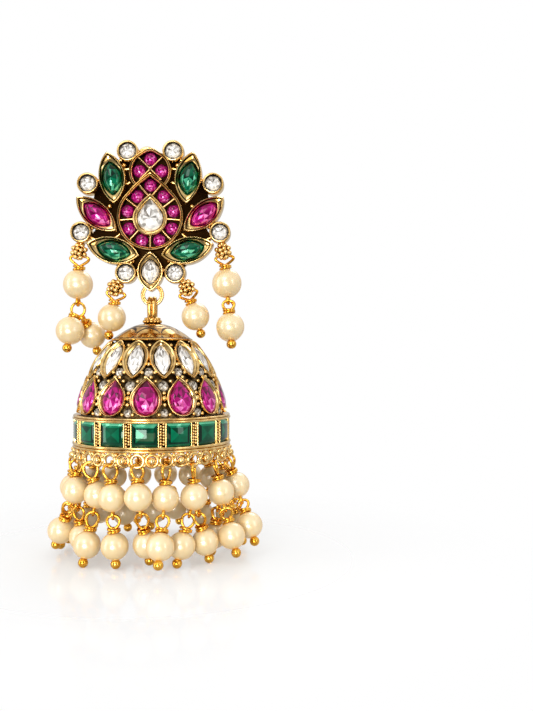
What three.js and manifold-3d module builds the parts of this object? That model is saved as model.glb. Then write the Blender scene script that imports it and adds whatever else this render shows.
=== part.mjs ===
// A jhumka earring: a lotus ear stud set with stones, four short pearl drops on the stud, and a
// bell-shaped dome with a pearl fringe that swings from a ring under the lotus.
// Millimetres, +Z up, -Y towards the viewer. The origin is the root of the ear post, at the
// middle of the flat back of the lotus.
import * as THREE from "three";
import { mergeVertices } from "three/addons/utils/BufferGeometryUtils.js";
import Module from "manifold-3d";

const wasm = await Module();
wasm.setup();

// Sizes of the lotus, measured forward from its flat back.
const PLATE = 1.2;
const FLOOR = 1.4;
const BEZEL = 3.0;
const LEDGE = 2.0;
const STONE_TOP = 2.9;
const SMALL_TOP = 2.5;
// Sizes of the stud's round settings, rosettes and post.
const ROUND_BEZEL = 1.85;
const ROUND_STONE = 1.4;
const SMALL_RUBY = 1.15;
const ROSETTE = 1.7;
const BAR = 0.36;
const POST_RADIUS = 0.45;
const POST_LENGTH = 10.5;
// Shares of a petal's length and width taken by its rim, its ledge and its stone.
const PETAL_RIM = [0.87, 0.83];
const PETAL_LEDGE = [0.7, 0.78];
const PETAL_STONE = [0.63, 0.71];
// The swing: the bail's arch turns round the bottom wire of the drop ring.
const DOME_Y = 0.6;
const PIVOT_Z = -18.95;
const DROP_RING = 1.82;
const RING_WIRE = 0.38;
const TAB_WIDE = 1.4;
const TAB_UP = 0.5;
const TAB_DOWN = 0.6;
const BAIL_WIRE = 0.5;
const BAIL_CLEARANCE = 0.2;
const BAIL_ARCH = RING_WIRE + BAIL_CLEARANCE + BAIL_WIRE;
// The staples behind the rosettes, which hold the eyes of the stud's pearl drops.
const EAR_LOOP_Y = 0.38;
const STAPLE = 1.1;
const STAPLE_START = -0.1;
const STAPLE_DROP = 0.1;
const STAPLE_WIRE = 0.25;
const STUD_EYE = 1.15;
// Heights of the flat joints between the parts of the dome, and the wall's thickness.
const CAP_FOOT = -25.8;
const ROWS_MEET = CAP_FOOT - 7.2;
const BAND_TOP = ROWS_MEET - 6.3;
const BAND_FOOT = BAND_TOP - 6.0;
const CAP_RADIUS = 7.4;
const WALL = 0.9;
const CELL_RISE = 0.85;
// The emerald band.
const BAND_CELLS = 15;
const BAND_FIRST = 2.5;
const BAND_OUT = 14.7;
const BAND_WALL = BAND_OUT - 1.15;
const BAND_IN = BAND_OUT - 2.1;
const RIM = 0.9;
const STONE_WIDE = 4.4;
const STONE_BEVEL = 0.75;
const BAR_WIDE = 1.4;
// The pearl fringe.
const STRANDS = 18;
const STRAND_STEP = 360 / STRANDS;
const FIRST_RING = -2.5;
const GALLERY_RADIUS = BAND_OUT - 0.4;
const GALLERY_RING = 1.1;
const GALLERY_WIRE = 0.3;
const GALLERY_Z = BAND_FOOT - GALLERY_RING - GALLERY_WIRE + 0.15;
const GALLERY_LEGS = GALLERY_RING + 0.45;
const EYE = 1.0;
const EYE_WIRE = 0.24;
const EYE_TWIST = 65;
const LINK_GAP = 0.16;
const PEARL = 2.37;
const BALL = 0.88;
const NECK = 0.34;
const PEARL_SIDES = 10;

const gold = { color: 0xc79a4b, roughness: 0.35, metalness: 1 };
const ruby = { color: 0xa3105f, roughness: 0.08, metalness: 0 };
const emerald = { color: 0x0a5c3c, roughness: 0.08, metalness: 0 };
const crystal = { color: 0xe6e2d8, roughness: 0.05, metalness: 0 };
const pearl = { color: 0xeedfbd, roughness: 0.25, metalness: 0 };

const degrees = THREE.MathUtils.degToRad;
const root = new THREE.Group();
root.name = "jhumka_earring";

// A closed solid through rings of the same number of points, with a flat face at each end.
function loft(rings) {
  const count = rings[0].length;
  const faces = [];
  for (let i = 1; i < count - 1; i++) {
    const last = (rings.length - 1) * count;
    faces.push(0, i + 1, i, last, last + i, last + i + 1);
  }
  for (let k = 0; k + 1 < rings.length; k++) {
    for (let i = 0; i < count; i++) {
      const a = k * count + i;
      const b = k * count + ((i + 1) % count);
      faces.push(a, b, b + count, a, b + count, a + count);
    }
  }
  const points = rings.flat();
  let volume = 0;
  for (let i = 0; i < faces.length; i += 3) {
    const [a, b, c] = [points[faces[i]], points[faces[i + 1]], points[faces[i + 2]]];
    volume += a.dot(new THREE.Vector3().crossVectors(b, c));
  }
  if (volume < 0) faces.reverse();
  const geometry = new THREE.BufferGeometry().setFromPoints(points);
  geometry.setIndex(faces);
  return geometry;
}

// A geometry as a solid that can be joined and cut.
function solid(geometry) {
  const plain = geometry.clone();
  plain.deleteAttribute("normal");
  plain.deleteAttribute("uv");
  const merged = mergeVertices(plain, 1e-3);
  return new wasm.Manifold(
    new wasm.Mesh({
      numProp: 3,
      vertProperties: merged.attributes.position.array,
      triVerts: new Uint32Array(merged.index.array),
    }),
  );
}

// Several geometries or solids joined into one solid.
function join(parts) {
  const solids = parts.map((part) => (part.isBufferGeometry ? solid(part) : part));
  return solids.reduce((whole, next) => whole.add(next));
}

// A solid's surface as a geometry.
function surface(body) {
  const mesh = body.getMesh();
  const geometry = new THREE.BufferGeometry();
  geometry.setAttribute("position", new THREE.BufferAttribute(mesh.vertProperties, 3));
  geometry.setIndex(new THREE.BufferAttribute(mesh.triVerts, 1));
  return geometry;
}

// One named piece in its own material.
function addPiece(name, shape, look) {
  const geometry = shape.isBufferGeometry ? shape : surface(shape);
  const piece = new THREE.Mesh(geometry, new THREE.MeshStandardMaterial(look));
  piece.name = name;
  root.add(piece);
}

// An outline drawn on the lotus, lifted to a height in front of its flat back.
function lift(outline, front) {
  return outline.map(([x, z]) => new THREE.Vector3(x, -front, z));
}

function mirrored(outline) {
  return outline.map(([x, z]) => [-x, z]);
}

function circle(x, z, radius, sides) {
  const points = [];
  for (let i = 0; i < sides; i++) {
    const angle = (2 * Math.PI * (i + 0.5)) / sides;
    points.push([x + radius * Math.sin(angle), z + radius * Math.cos(angle)]);
  }
  return points;
}

// A round outline with lobes, a deep point between each two.
function lobes(x, z, radius, count) {
  const points = [];
  for (let i = 0; i < 2 * count; i++) {
    const angle = (Math.PI * i) / count;
    const reach = i % 2 ? radius * 0.78 : radius;
    points.push([x + reach * Math.sin(angle), z + reach * Math.cos(angle)]);
  }
  return points;
}

// A leaf between two tips, with its own bulge on each side. The shares shrink it about its middle.
function leaf(row, long = 1, wide = 1, steps = 5) {
  const middle = [(row.tip[0] + row.tail[0]) / 2, (row.tip[1] + row.tail[1]) / 2];
  const half = [(row.tail[0] - row.tip[0]) / 2, (row.tail[1] - row.tip[1]) / 2];
  const length = Math.hypot(...half);
  const side = [half[1] / length, -half[0] / length];
  const at = (t, bulge) => {
    const off = bulge * wide * (4 * t * (1 - t)) ** 0.75;
    const along = (2 * t - 1) * long;
    return [middle[0] + half[0] * along + side[0] * off, middle[1] + half[1] * along + side[1] * off];
  };
  const points = [];
  for (let i = 0; i < steps; i++) points.push(at(i / steps, row.left));
  for (let i = steps; i > 0; i--) points.push(at(i / steps, -row.right));
  return points;
}

// A drop: a circle with two straight sides that meet in a point above it.
function drop(row, sides) {
  const lean = Math.acos(row.radius / (row.tip - row.centre));
  const points = [[0, row.tip]];
  for (let i = 0; i < sides - 1; i++) {
    const angle = lean + ((2 * Math.PI - 2 * lean) * i) / (sides - 2);
    points.push([row.radius * Math.sin(angle), row.centre + row.radius * Math.cos(angle)]);
  }
  return points;
}

// A metal cup with a rim, sloping sides and a flat floor.
function cup(outer, rim, ledge, heights) {
  return loft([
    lift(outer, heights.back),
    lift(outer, heights.top),
    lift(rim, heights.top),
    lift(ledge, heights.floor),
  ]);
}

// A cut stone: a flat foot and facets that rise to a table.
function cutStone(outline, heights, share = 0.58) {
  const count = outline.length;
  const mid = outline.reduce(([a, b], [x, z]) => [a + x / count, b + z / count], [0, 0]);
  const table = outline.map(([x, z]) => [mid[0] + (x - mid[0]) * share, mid[1] + (z - mid[1]) * share]);
  return loft([lift(outline, heights.foot), lift(table, heights.table)]);
}

// A straight bar between two points of the lotus.
function bar(from, to, width, back, front) {
  const length = Math.hypot(to[0] - from[0], to[1] - from[1]);
  const side = [(-(to[1] - from[1]) * width) / length / 2, ((to[0] - from[0]) * width) / length / 2];
  const outline = [
    [from[0] + side[0], from[1] + side[1]],
    [to[0] + side[0], to[1] + side[1]],
    [to[0] - side[0], to[1] - side[1]],
    [from[0] - side[0], from[1] - side[1]],
  ];
  return loft([lift(outline, back), lift(outline, front)]);
}

// A round ring of wire, first in the plane that faces the viewer, then turned about the vertical.
function wireRing(radius, wire, turn, [x, y, z]) {
  const ring = new THREE.TorusGeometry(radius, wire, 5, 10);
  ring.rotateX(Math.PI / 2);
  ring.rotateZ(degrees(turn));
  return ring.translate(x, y, z);
}

// A loop of wire that hangs open from the metal above it: a half round whose ends rise into it.
function hangingLoop(radius, wire, legs, turn, [x, y, z]) {
  const rings = [];
  for (let k = 0; k <= 5; k++) {
    const angle = (Math.PI * k) / 5;
    const rise = k % 5 === 0 ? legs : 0;
    rings.push(
      [0, 1, 2, 3, 4].map((side) => {
        const about = (2 * Math.PI * side) / 5;
        const reach = radius + wire * Math.cos(about);
        return new THREE.Vector3(
          -reach * Math.cos(angle),
          wire * Math.sin(about),
          rise - reach * Math.sin(angle),
        );
      }),
    );
  }
  return loft(rings).rotateZ(degrees(turn)).translate(x, y, z);
}

// Pearls and balls on one wire: a skin of level rings through each bead, pinched to the wire
// between them.
function beadString(top, beads) {
  const ring = ([x, y, z], radius) => {
    const points = [];
    for (let i = 0; i < PEARL_SIDES; i++) {
      const angle = (2 * Math.PI * i) / PEARL_SIDES;
      points.push(new THREE.Vector3(x + radius * Math.sin(angle), y + radius * Math.cos(angle), z));
    }
    return points;
  };
  const rings = [ring(top, EYE_WIRE * 0.5)];
  beads.forEach(({ at, radius }, k) => {
    const [x, y, z] = at;
    const level = (rise, wide) => rings.push(ring([x, y, z + radius * rise], wide));
    const isBall = radius < 1.5;
    if (!isBall) level(0.97, NECK);
    level(isBall ? 0.35 : 0.5, radius * 0.93);
    level(-0.5, radius * 0.93);
    if (!isBall && k < beads.length - 1 && beads[k + 1].radius > 1.5) level(-0.97, NECK);
  });
  return loft(rings);
}

// The lotus frame. Petals hold one stone each; left and right are the bulges beside the line from
// tip to tail. The first three rows are mirrored to the other side.
const petals = [
  { name: "upper_emerald", look: emerald, tip: [7.93, 8.97], tail: [6.57, -0.6], left: 2.65, right: 2.3 },
  { name: "side_ruby", look: ruby, tip: [13.6, 0.45], tail: [6.3, -5.75], left: 2.2, right: 2.5 },
  { name: "lower_emerald", look: emerald, tip: [11.6, -8.0], tail: [2.3, -10.15], left: 2.35, right: 2.65 },
  { name: "base_crystal", look: crystal, tip: [0, -9.4], tail: [0, -16.7], left: 2.4, right: 2.4 },
];
const rounds = [
  { x: 4.23, z: 9.16 },
  { x: 11.7, z: 3.08 },
  { x: 12.9, z: -6.1 },
  { x: 4.54, z: -13.36 },
];
const drops = {
  outer: { centre: -3.05, radius: 6.15, tip: 4.88 },
  channel: { centre: -3.05, radius: 5.57, tip: 4.1 },
  inner: { centre: -3.25, radius: 3.2, tip: 1.35 },
  seat: { centre: -3.3, radius: 2.7, tip: 0.72 },
  pear: { centre: -3.3, radius: 2.3, tip: 0.32 },
  crown: { centre: 5.4, radius: 3.95, tip: 9.75 },
  crownFloor: { centre: 5.4, radius: 3.4, tip: 9.0 },
};
// The dark backing between the petals, from the top round the right side to the bottom.
const backing = [
  { x: 0, z: 8.8 },
  { x: 5.7, z: 8.2 },
  { x: 7.4, z: 5.6 },
  { x: 10.2, z: 2.9 },
  { x: 10.9, z: -0.4 },
  { x: 9.8, z: -4.3 },
  { x: 11.4, z: -6.7 },
  { x: 7.6, z: -10.6 },
  { x: 5.0, z: -13.4 },
  { x: 0, z: -14.4 },
];
// Each rosette is soldered to the round setting above it.
const rosettes = [
  { x: 13.5, z: -9.4, above: 2 },
  { x: 6.65, z: -16.05, above: 3 },
];
const crownRubies = [
  { x: 0, z: 7.75 },
  { x: -2.05, z: 5.55 },
  { x: 2.05, z: 5.55 },
];

// Points spaced evenly along the middle of the channel between the two drop-shaped walls.
function channelPoints(count, phase) {
  const line = drop({ centre: -3.1, radius: 4.42, tip: 2.85 }, 72);
  const points = line.map(([x, z]) => new THREE.Vector2(x, z));
  points.push(points[0].clone());
  const path = new THREE.Path(points);
  const list = [];
  for (let i = 0; i < count; i++) {
    const u = (i + phase) / count;
    const point = path.getPointAt(u);
    const ahead = path.getTangentAt(Math.min(Math.max(u, 0.002), 0.998));
    list.push({ x: point.x, z: point.y, across: [-ahead.y, ahead.x] });
  }
  return list;
}

const heights = { back: 0, top: BEZEL, floor: FLOOR + 0.1 };
const frameParts = [];
const half = backing.map(({ x, z }) => [x, z]);
const backingLine = [...half, ...mirrored(half).reverse().slice(1, -1)];
frameParts.push(
  new THREE.ExtrudeGeometry(
    new THREE.Shape(backingLine.map(([x, z]) => new THREE.Vector2(x, z))),
    { depth: PLATE, bevelEnabled: false },
  ).rotateX(Math.PI / 2),
);
petals.forEach((row, k) => {
  const lines = [leaf(row), leaf(row, ...PETAL_RIM), leaf(row, ...PETAL_LEDGE)];
  for (const flip of k === 3 ? [false] : [false, true]) {
    const [outer, rim, ledge] = flip ? lines.map(mirrored) : lines;
    frameParts.push(cup(outer, rim, ledge, heights));
  }
});
rounds.forEach(({ x, z }) => {
  for (const way of [1, -1]) {
    const rim = circle(x * way, z, ROUND_STONE + 0.12, 8);
    frameParts.push(
      loft([
        lift(circle(x * way, z, ROUND_BEZEL, 8), 0),
        lift(circle(x * way, z, ROUND_BEZEL, 8), BEZEL - 0.3),
        lift(rim, BEZEL - 0.3),
        lift(rim, FLOOR),
      ]),
    );
  }
});
const outerDrop = drop(drops.outer, 16);
const dropFill = solid(loft([lift(outerDrop, -1), lift(outerDrop, BEZEL + 1)]));
const crownCup = loft([
  lift(drop(drops.crown, 12), 0),
  lift(drop(drops.crown, 12), BEZEL - 0.2),
  lift(drop(drops.crownFloor, 12), BEZEL - 0.2),
  lift(drop(drops.crownFloor, 12), FLOOR),
]);
const crownBars = [
  bar([-2.2, 7.9], [2.0, 3.9], BAR, FLOOR - 0.2, SMALL_TOP),
  bar([2.2, 7.9], [-2.0, 3.9], BAR, FLOOR - 0.2, SMALL_TOP),
];
frameParts.push(join([crownCup, ...crownBars]).subtract(dropFill));
frameParts.push(
  loft([
    lift(outerDrop, 0),
    lift(outerDrop, BEZEL),
    lift(drop(drops.channel, 16), BEZEL),
    lift(drop(drops.channel, 16), FLOOR),
  ]),
);
frameParts.push(
  loft([
    lift(drop(drops.inner, 12), FLOOR - 0.5),
    lift(drop(drops.inner, 12), BEZEL - 0.1),
    lift(drop(drops.seat, 12), BEZEL - 0.1),
    lift(drop(drops.seat, 12), LEDGE - 0.2),
  ]),
);
for (const { x, z, across } of channelPoints(9, 0.5)) {
  const reach = 1.35;
  const from = [x - across[0] * reach, z - across[1] * reach];
  const to = [x + across[0] * reach, z + across[1] * reach];
  frameParts.push(bar(from, to, BAR, FLOOR - 0.3, SMALL_TOP));
}
for (const { x, z, above } of rosettes) {
  const setting = rounds[above];
  for (const way of [1, -1]) {
    frameParts.push(bar([setting.x * way, setting.z], [x * way, z], 1.3, 0, PLATE - 0.2));
    frameParts.push(
      loft([
        lift(lobes(x * way, z, ROSETTE, 6), 0),
        lift(lobes(x * way, z, ROSETTE, 6), PLATE + 0.2),
        lift(lobes(x * way, z, ROSETTE * 0.6, 6), PLATE + 0.65),
      ]),
    );
    const staple = hangingLoop(STAPLE, STAPLE_WIRE, 0.3, 0, [0, 0, 0]).rotateZ(Math.PI / 2);
    frameParts.push(staple.rotateX(Math.PI / 2).translate(x * way, STAPLE_START, z - STAPLE_DROP));
  }
}
const ringZ = PIVOT_Z + DROP_RING;
const ringTop = ringZ + DROP_RING;
frameParts.push(
  new THREE.TorusGeometry(DROP_RING, RING_WIRE, 5, 14).rotateX(Math.PI / 2).translate(0, DOME_Y, ringZ),
);
frameParts.push(
  bar([0, ringTop - TAB_DOWN], [0, ringTop + TAB_UP], TAB_WIDE, -DOME_Y - 0.15, 0.6),
);
addPiece("lotus_frame", join(frameParts), gold);

addPiece(
  "ear_post",
  new THREE.LatheGeometry(
    [
      [0, 0],
      [POST_RADIUS, 0],
      [POST_RADIUS, POST_LENGTH - 0.4],
      [POST_RADIUS * 0.5, POST_LENGTH],
      [0, POST_LENGTH],
    ].map(([r, h]) => new THREE.Vector2(r, h)),
    10,
  ),
  gold,
);

// The stones of the lotus stand on their floors, a little clear of the metal round them.
const petalStone = { foot: FLOOR + 0.1, table: STONE_TOP };
petals.forEach((row, k) => {
  const outline = leaf(row, ...PETAL_STONE, 4);
  if (k === 3) {
    addPiece(row.name, cutStone(outline, petalStone, 0.5), row.look);
    return;
  }
  addPiece(row.name + "_right", cutStone(outline, petalStone, 0.5), row.look);
  addPiece(row.name + "_left", cutStone(mirrored(outline), petalStone, 0.5), row.look);
});
const pearStone = { foot: LEDGE - 0.2, table: BEZEL };
addPiece("centre_pear", cutStone(drop(drops.pear, 12), pearStone, 0.5), crystal);
rounds.forEach(({ x, z }, k) => {
  const stone = { foot: FLOOR, table: BEZEL - 0.3 };
  const height = ["top", "shoulder", "side", "base"][k];
  for (const [side, way] of [["right", 1], ["left", -1]]) {
    const outline = circle(x * way, z, ROUND_STONE, 8);
    addPiece("round_crystal_" + height + "_" + side, cutStone(outline, stone), crystal);
  }
});
const smallStone = { foot: FLOOR, table: SMALL_TOP };
channelPoints(9, 0).forEach(({ x, z }, k) => {
  const shift = k === 0 ? -0.16 : 0;
  addPiece("ring_ruby_" + (k + 1), cutStone(circle(x, z + shift, SMALL_RUBY, 8), smallStone), ruby);
});
crownRubies.forEach(({ x, z }, k) => {
  addPiece("crown_ruby_" + (k + 1), cutStone(circle(x, z, SMALL_RUBY, 8), smallStone), ruby);
});

// The four pearl drops of the stud. Each hangs by an eye of wire through a staple behind its
// rosette. Every row is one bead; a row with a branch hangs beside the one before it.
const studDrops = [
  {
    name: "stud_drop_outer_left",
    rosette: [-13.5, -9.4],
    beads: [
      { x: -13.85, y: 0.2, z: -15.2, radius: 2.75 },
      { x: -15.0, y: -1.3, z: -23.9, radius: 2.6 },
      { x: -15.4, y: -1.5, z: -27.2, radius: BALL },
    ],
    branch: [
      { x: -11.7, y: 2.9, z: -24.6, radius: 2.5 },
      { x: -11.8, y: 3.2, z: -27.8, radius: BALL },
    ],
  },
  {
    name: "stud_drop_inner_left",
    rosette: [-6.65, -16.05],
    beads: [
      { x: -7.55, y: 0.3, z: -21.45, radius: 2.6 },
      { x: -8.1, y: 0.3, z: -24.5, radius: 0.8 },
    ],
    branch: [],
  },
  {
    name: "stud_drop_inner_right",
    rosette: [6.65, -16.05],
    beads: [
      { x: 8.1, y: 0.3, z: -21.2, radius: 2.6 },
      { x: 8.6, y: 0.3, z: -24.25, radius: 0.8 },
    ],
    branch: [],
  },
  {
    name: "stud_drop_outer_right",
    rosette: [13.5, -9.4],
    beads: [
      { x: 13.98, y: 0.2, z: -15.0, radius: 2.75 },
      { x: 14.7, y: -1.5, z: -23.2, radius: 2.6 },
      { x: 15.3, y: -1.7, z: -26.4, radius: BALL },
    ],
    branch: [
      { x: 14.4, y: 3.6, z: -23.4, radius: 2.5 },
      { x: 14.5, y: 3.9, z: -26.6, radius: BALL },
    ],
  },
];

// A strand: an eye of wire, the beads under it, and a second short string from the first pearl.
function strand(eyeRadius, eyeTurn, eyeAt, beads, branch) {
  const foot = [eyeAt[0], eyeAt[1], eyeAt[2] - eyeRadius];
  const parts = [wireRing(eyeRadius, EYE_WIRE, eyeTurn, eyeAt), beadString(foot, beads)];
  if (branch.length) {
    const { at, radius } = beads[0];
    parts.push(beadString([at[0], at[1], at[2] - radius - 0.1], branch));
  }
  return join(parts);
}

const asBeads = (rows) => rows.map(({ x, y, z, radius }) => ({ at: [x, y, z], radius }));
for (const { name, rosette, beads, branch } of studDrops) {
  const eyeAt = [rosette[0], EAR_LOOP_Y, rosette[1] - STAPLE_DROP - STUD_EYE];
  addPiece(name, strand(STUD_EYE, 0, eyeAt, asBeads(beads), asBeads(branch)), pearl);
}

// The dome: a closed cap with its collar and bail, two rows of set stones and the emerald band.
// The rows meet on level faces.
function turned(profile, sides) {
  const points = profile.map(({ r, z }) => new THREE.Vector2(r, z));
  return new THREE.LatheGeometry(points, sides).rotateX(Math.PI / 2).translate(0, DOME_Y, 0);
}

const capProfile = [
  { r: 0, up: 2.6 },
  { r: CAP_RADIUS - 1.7, up: 0 },
  { r: CAP_RADIUS, up: 0 },
  { r: CAP_RADIUS, up: 0.4 },
  { r: 6.1, up: 1.1 },
  { r: 4.5, up: 2.35 },
  { r: 2.5, up: 3.35 },
  { r: 1.35, up: 3.6 },
  { r: 1.45, up: 4.2 },
  { r: 1.1, up: 4.6 },
  { r: 0, up: 4.6 },
].map(({ r, up }) => ({ r, z: CAP_FOOT + up }));
const collarZ = CAP_FOOT + 4.2;
const archPoints = [new THREE.Vector3(0, DOME_Y - 0.6, collarZ)];
for (let i = 0; i <= 8; i++) {
  const angle = (Math.PI * i) / 8;
  const y = DOME_Y - BAIL_ARCH * Math.cos(angle);
  archPoints.push(new THREE.Vector3(0, y, PIVOT_Z + BAIL_ARCH * Math.sin(angle)));
}
archPoints.push(new THREE.Vector3(0, DOME_Y + 0.6, collarZ));
const smoothArch = new THREE.CatmullRomCurve3(archPoints, false, "centripetal");
const wireSection = new THREE.Shape(
  circle(0, 0, BAIL_WIRE, 6).map(([x, y]) => new THREE.Vector2(x, y)),
);
const bail = new THREE.ExtrudeGeometry(wireSection, {
  steps: 12,
  bevelEnabled: false,
  extrudePath: smoothArch,
});
addPiece("dome_cap", join([turned(capProfile, 16), bail]), gold);

// The outer face of the wall that the settings stand on, as shares of the way down from the cap
// to the band and of the way out.
const WALL_TOP_RADIUS = CAP_RADIUS - 0.65;
const wallProfile = [
  { down: 0, out: 0 },
  { down: 0.14, out: 0.26 },
  { down: 0.31, out: 0.51 },
  { down: 0.51, out: 0.715 },
  { down: 0.67, out: 0.85 },
  { down: 0.82, out: 0.95 },
  { down: 1, out: 1 },
].map(({ down, out }) => ({
  r: WALL_TOP_RADIUS + (BAND_WALL - 0.5 - WALL_TOP_RADIUS) * out,
  z: CAP_FOOT + (BAND_TOP - CAP_FOOT) * down,
}));
const wallLine = new THREE.SplineCurve(wallProfile.map(({ r, z }) => new THREE.Vector2(r, z)));
const wallLength = wallLine.getLength();

// A point beside the wall: turned from the front, across it, along it from the top and out of it.
function onWall(turn, across, along, out) {
  const share = Math.min(along / wallLength, 1);
  const foot = wallLine.getPointAt(share);
  const down = wallLine.getTangentAt(share);
  const r = foot.x - down.y * out;
  const z = foot.y + down.x * out;
  const angle = turn + across / (foot.x + CELL_RISE);
  return new THREE.Vector3(r * Math.sin(angle), DOME_Y - r * Math.cos(angle), z);
}

// Rows of settings: how many, where the first one stands, and the outline of the bezel as
// sideways and downward distances.
const rowsOfCells = [
  {
    name: "crystal_row",
    look: crystal,
    top: CAP_FOOT,
    foot: ROWS_MEET,
    count: 13,
    first: 18.2,
    cell: { tip: [0, 0.65], tail: [0, 8.1], left: 2.35, right: 2.35 },
    shares: { rim: [0.88, 0.8], seat: [0.68, 0.58], table: [0.4, 0.28] },
  },
  {
    name: "ruby_row",
    look: ruby,
    top: ROWS_MEET,
    foot: BAND_TOP,
    count: 13,
    first: 3,
    cell: { tip: 0.4, centre: 3.55, radius: 2.8 },
    shares: { rim: [0.86, 0.82], seat: [0.78, 0.74], table: [0.42, 0.4] },
  },
];

// How far down the wall a height lies.
function wallAt(z) {
  let low = 0;
  let high = 1;
  for (let i = 0; i < 30; i++) {
    const middle = (low + high) / 2;
    if (wallLine.getPointAt(middle).y > z) low = middle;
    else high = middle;
  }
  return low * wallLength;
}

function cellOutline(cell, [long, wide]) {
  if (cell.tail) return leaf(cell, long, wide, 4);
  const down = drop({ centre: -cell.centre, radius: cell.radius, tip: -cell.tip }, 9);
  return down.map(([x, z]) => [x * wide, cell.centre - (z + cell.centre) * long]);
}

// Each row stands on a wall with one flat face behind each setting.
for (const { name, look, top, foot, count, first, cell, shares } of rowsOfCells) {
  const start = wallAt(top);
  const edge = [top, foot].map((z) => ({ r: wallLine.getPointAt(wallAt(z) / wallLength).x, z }));
  const inside = edge.map(({ r, z }) => ({ r: r - WALL * 1.35, z })).reverse();
  const wall = turned([...edge, ...inside, edge[0]].reverse(), count);
  wall.translate(0, -DOME_Y, 0).rotateZ(degrees(first + 180 / count)).translate(0, DOME_Y, 0);
  const parts = [wall];
  for (let k = 0; k < count; k++) {
    const turn = degrees(first + (360 * k) / count);
    const rings = [
      { share: [1, 1], out: -0.7 },
      { share: [1, 1], out: CELL_RISE },
      { share: shares.rim, out: CELL_RISE },
      { share: shares.seat, out: 0.15 },
      { share: shares.table, out: 0.75 },
    ].map(({ share, out }) =>
      cellOutline(cell, share).map(([across, along]) => onWall(turn, across, start + along, out)),
    );
    parts.push(loft(rings));
  }
  const slab = new THREE.BoxGeometry(60, 60, top - foot).translate(0, 0, (top + foot) / 2);
  addPiece(name, join(parts).intersect(solid(slab)), look);
}

// The emerald band: two rims, square stones between upright bars, and a gallery of rings under
// the lower rim, of which every second one holds a bead.
const bandProfile = [
  { r: BAND_IN, z: BAND_FOOT },
  { r: BAND_OUT - 0.2, z: BAND_FOOT },
  { r: BAND_OUT, z: BAND_FOOT + RIM },
  { r: BAND_WALL, z: BAND_FOOT + RIM },
  { r: BAND_WALL, z: BAND_TOP - RIM },
  { r: BAND_OUT, z: BAND_TOP - RIM },
  { r: BAND_OUT - 0.2, z: BAND_TOP },
  { r: BAND_IN - 0.7, z: BAND_TOP },
  { r: BAND_IN, z: BAND_FOOT },
];

// A rectangle on the band: across it from its middle line, up from its middle, and out.
function bandRing(turn, across, up, out) {
  const middle = (BAND_TOP + BAND_FOOT) / 2;
  return [[-1, 1], [1, 1], [1, -1], [-1, -1]].map(([a, b]) => {
    const point = new THREE.Vector3(a * across, -out, middle + b * up);
    return point.applyAxisAngle(new THREE.Vector3(0, 0, 1), turn).add(new THREE.Vector3(0, DOME_Y, 0));
  });
}

const bandParts = [turned(bandProfile, BAND_CELLS * 2)];
const stoneHigh = (BAND_TOP - BAND_FOOT) / 2 - RIM + 0.1;
for (let k = 0; k < BAND_CELLS; k++) {
  const turn = degrees(BAND_FIRST + (360 * k) / BAND_CELLS);
  bandParts.push(
    loft([
      bandRing(turn, STONE_WIDE / 2, stoneHigh, BAND_WALL - 0.4),
      bandRing(turn, STONE_WIDE / 2, stoneHigh, BAND_WALL + 0.3),
      bandRing(turn, STONE_WIDE / 2 - STONE_BEVEL, stoneHigh - STONE_BEVEL, BAND_WALL + 0.65),
    ]),
  );
  const between = turn + Math.PI / BAND_CELLS;
  bandParts.push(
    loft([
      bandRing(between, BAR_WIDE / 2, stoneHigh + 0.1, BAND_WALL - 0.3),
      bandRing(between, BAR_WIDE / 2, stoneHigh + 0.1, BAND_WALL + 0.75),
    ]),
  );
}
function around(turn, radius, z) {
  const angle = degrees(turn);
  return [radius * Math.sin(angle), DOME_Y - radius * Math.cos(angle), z];
}
for (let k = 0; k < STRANDS; k++) {
  const turn = FIRST_RING + STRAND_STEP * k;
  bandParts.push(
    hangingLoop(GALLERY_RING, GALLERY_WIRE, GALLERY_LEGS, turn, around(turn, GALLERY_RADIUS, GALLERY_Z)),
  );
}
addPiece("emerald_band", join(bandParts), emerald);

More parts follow.
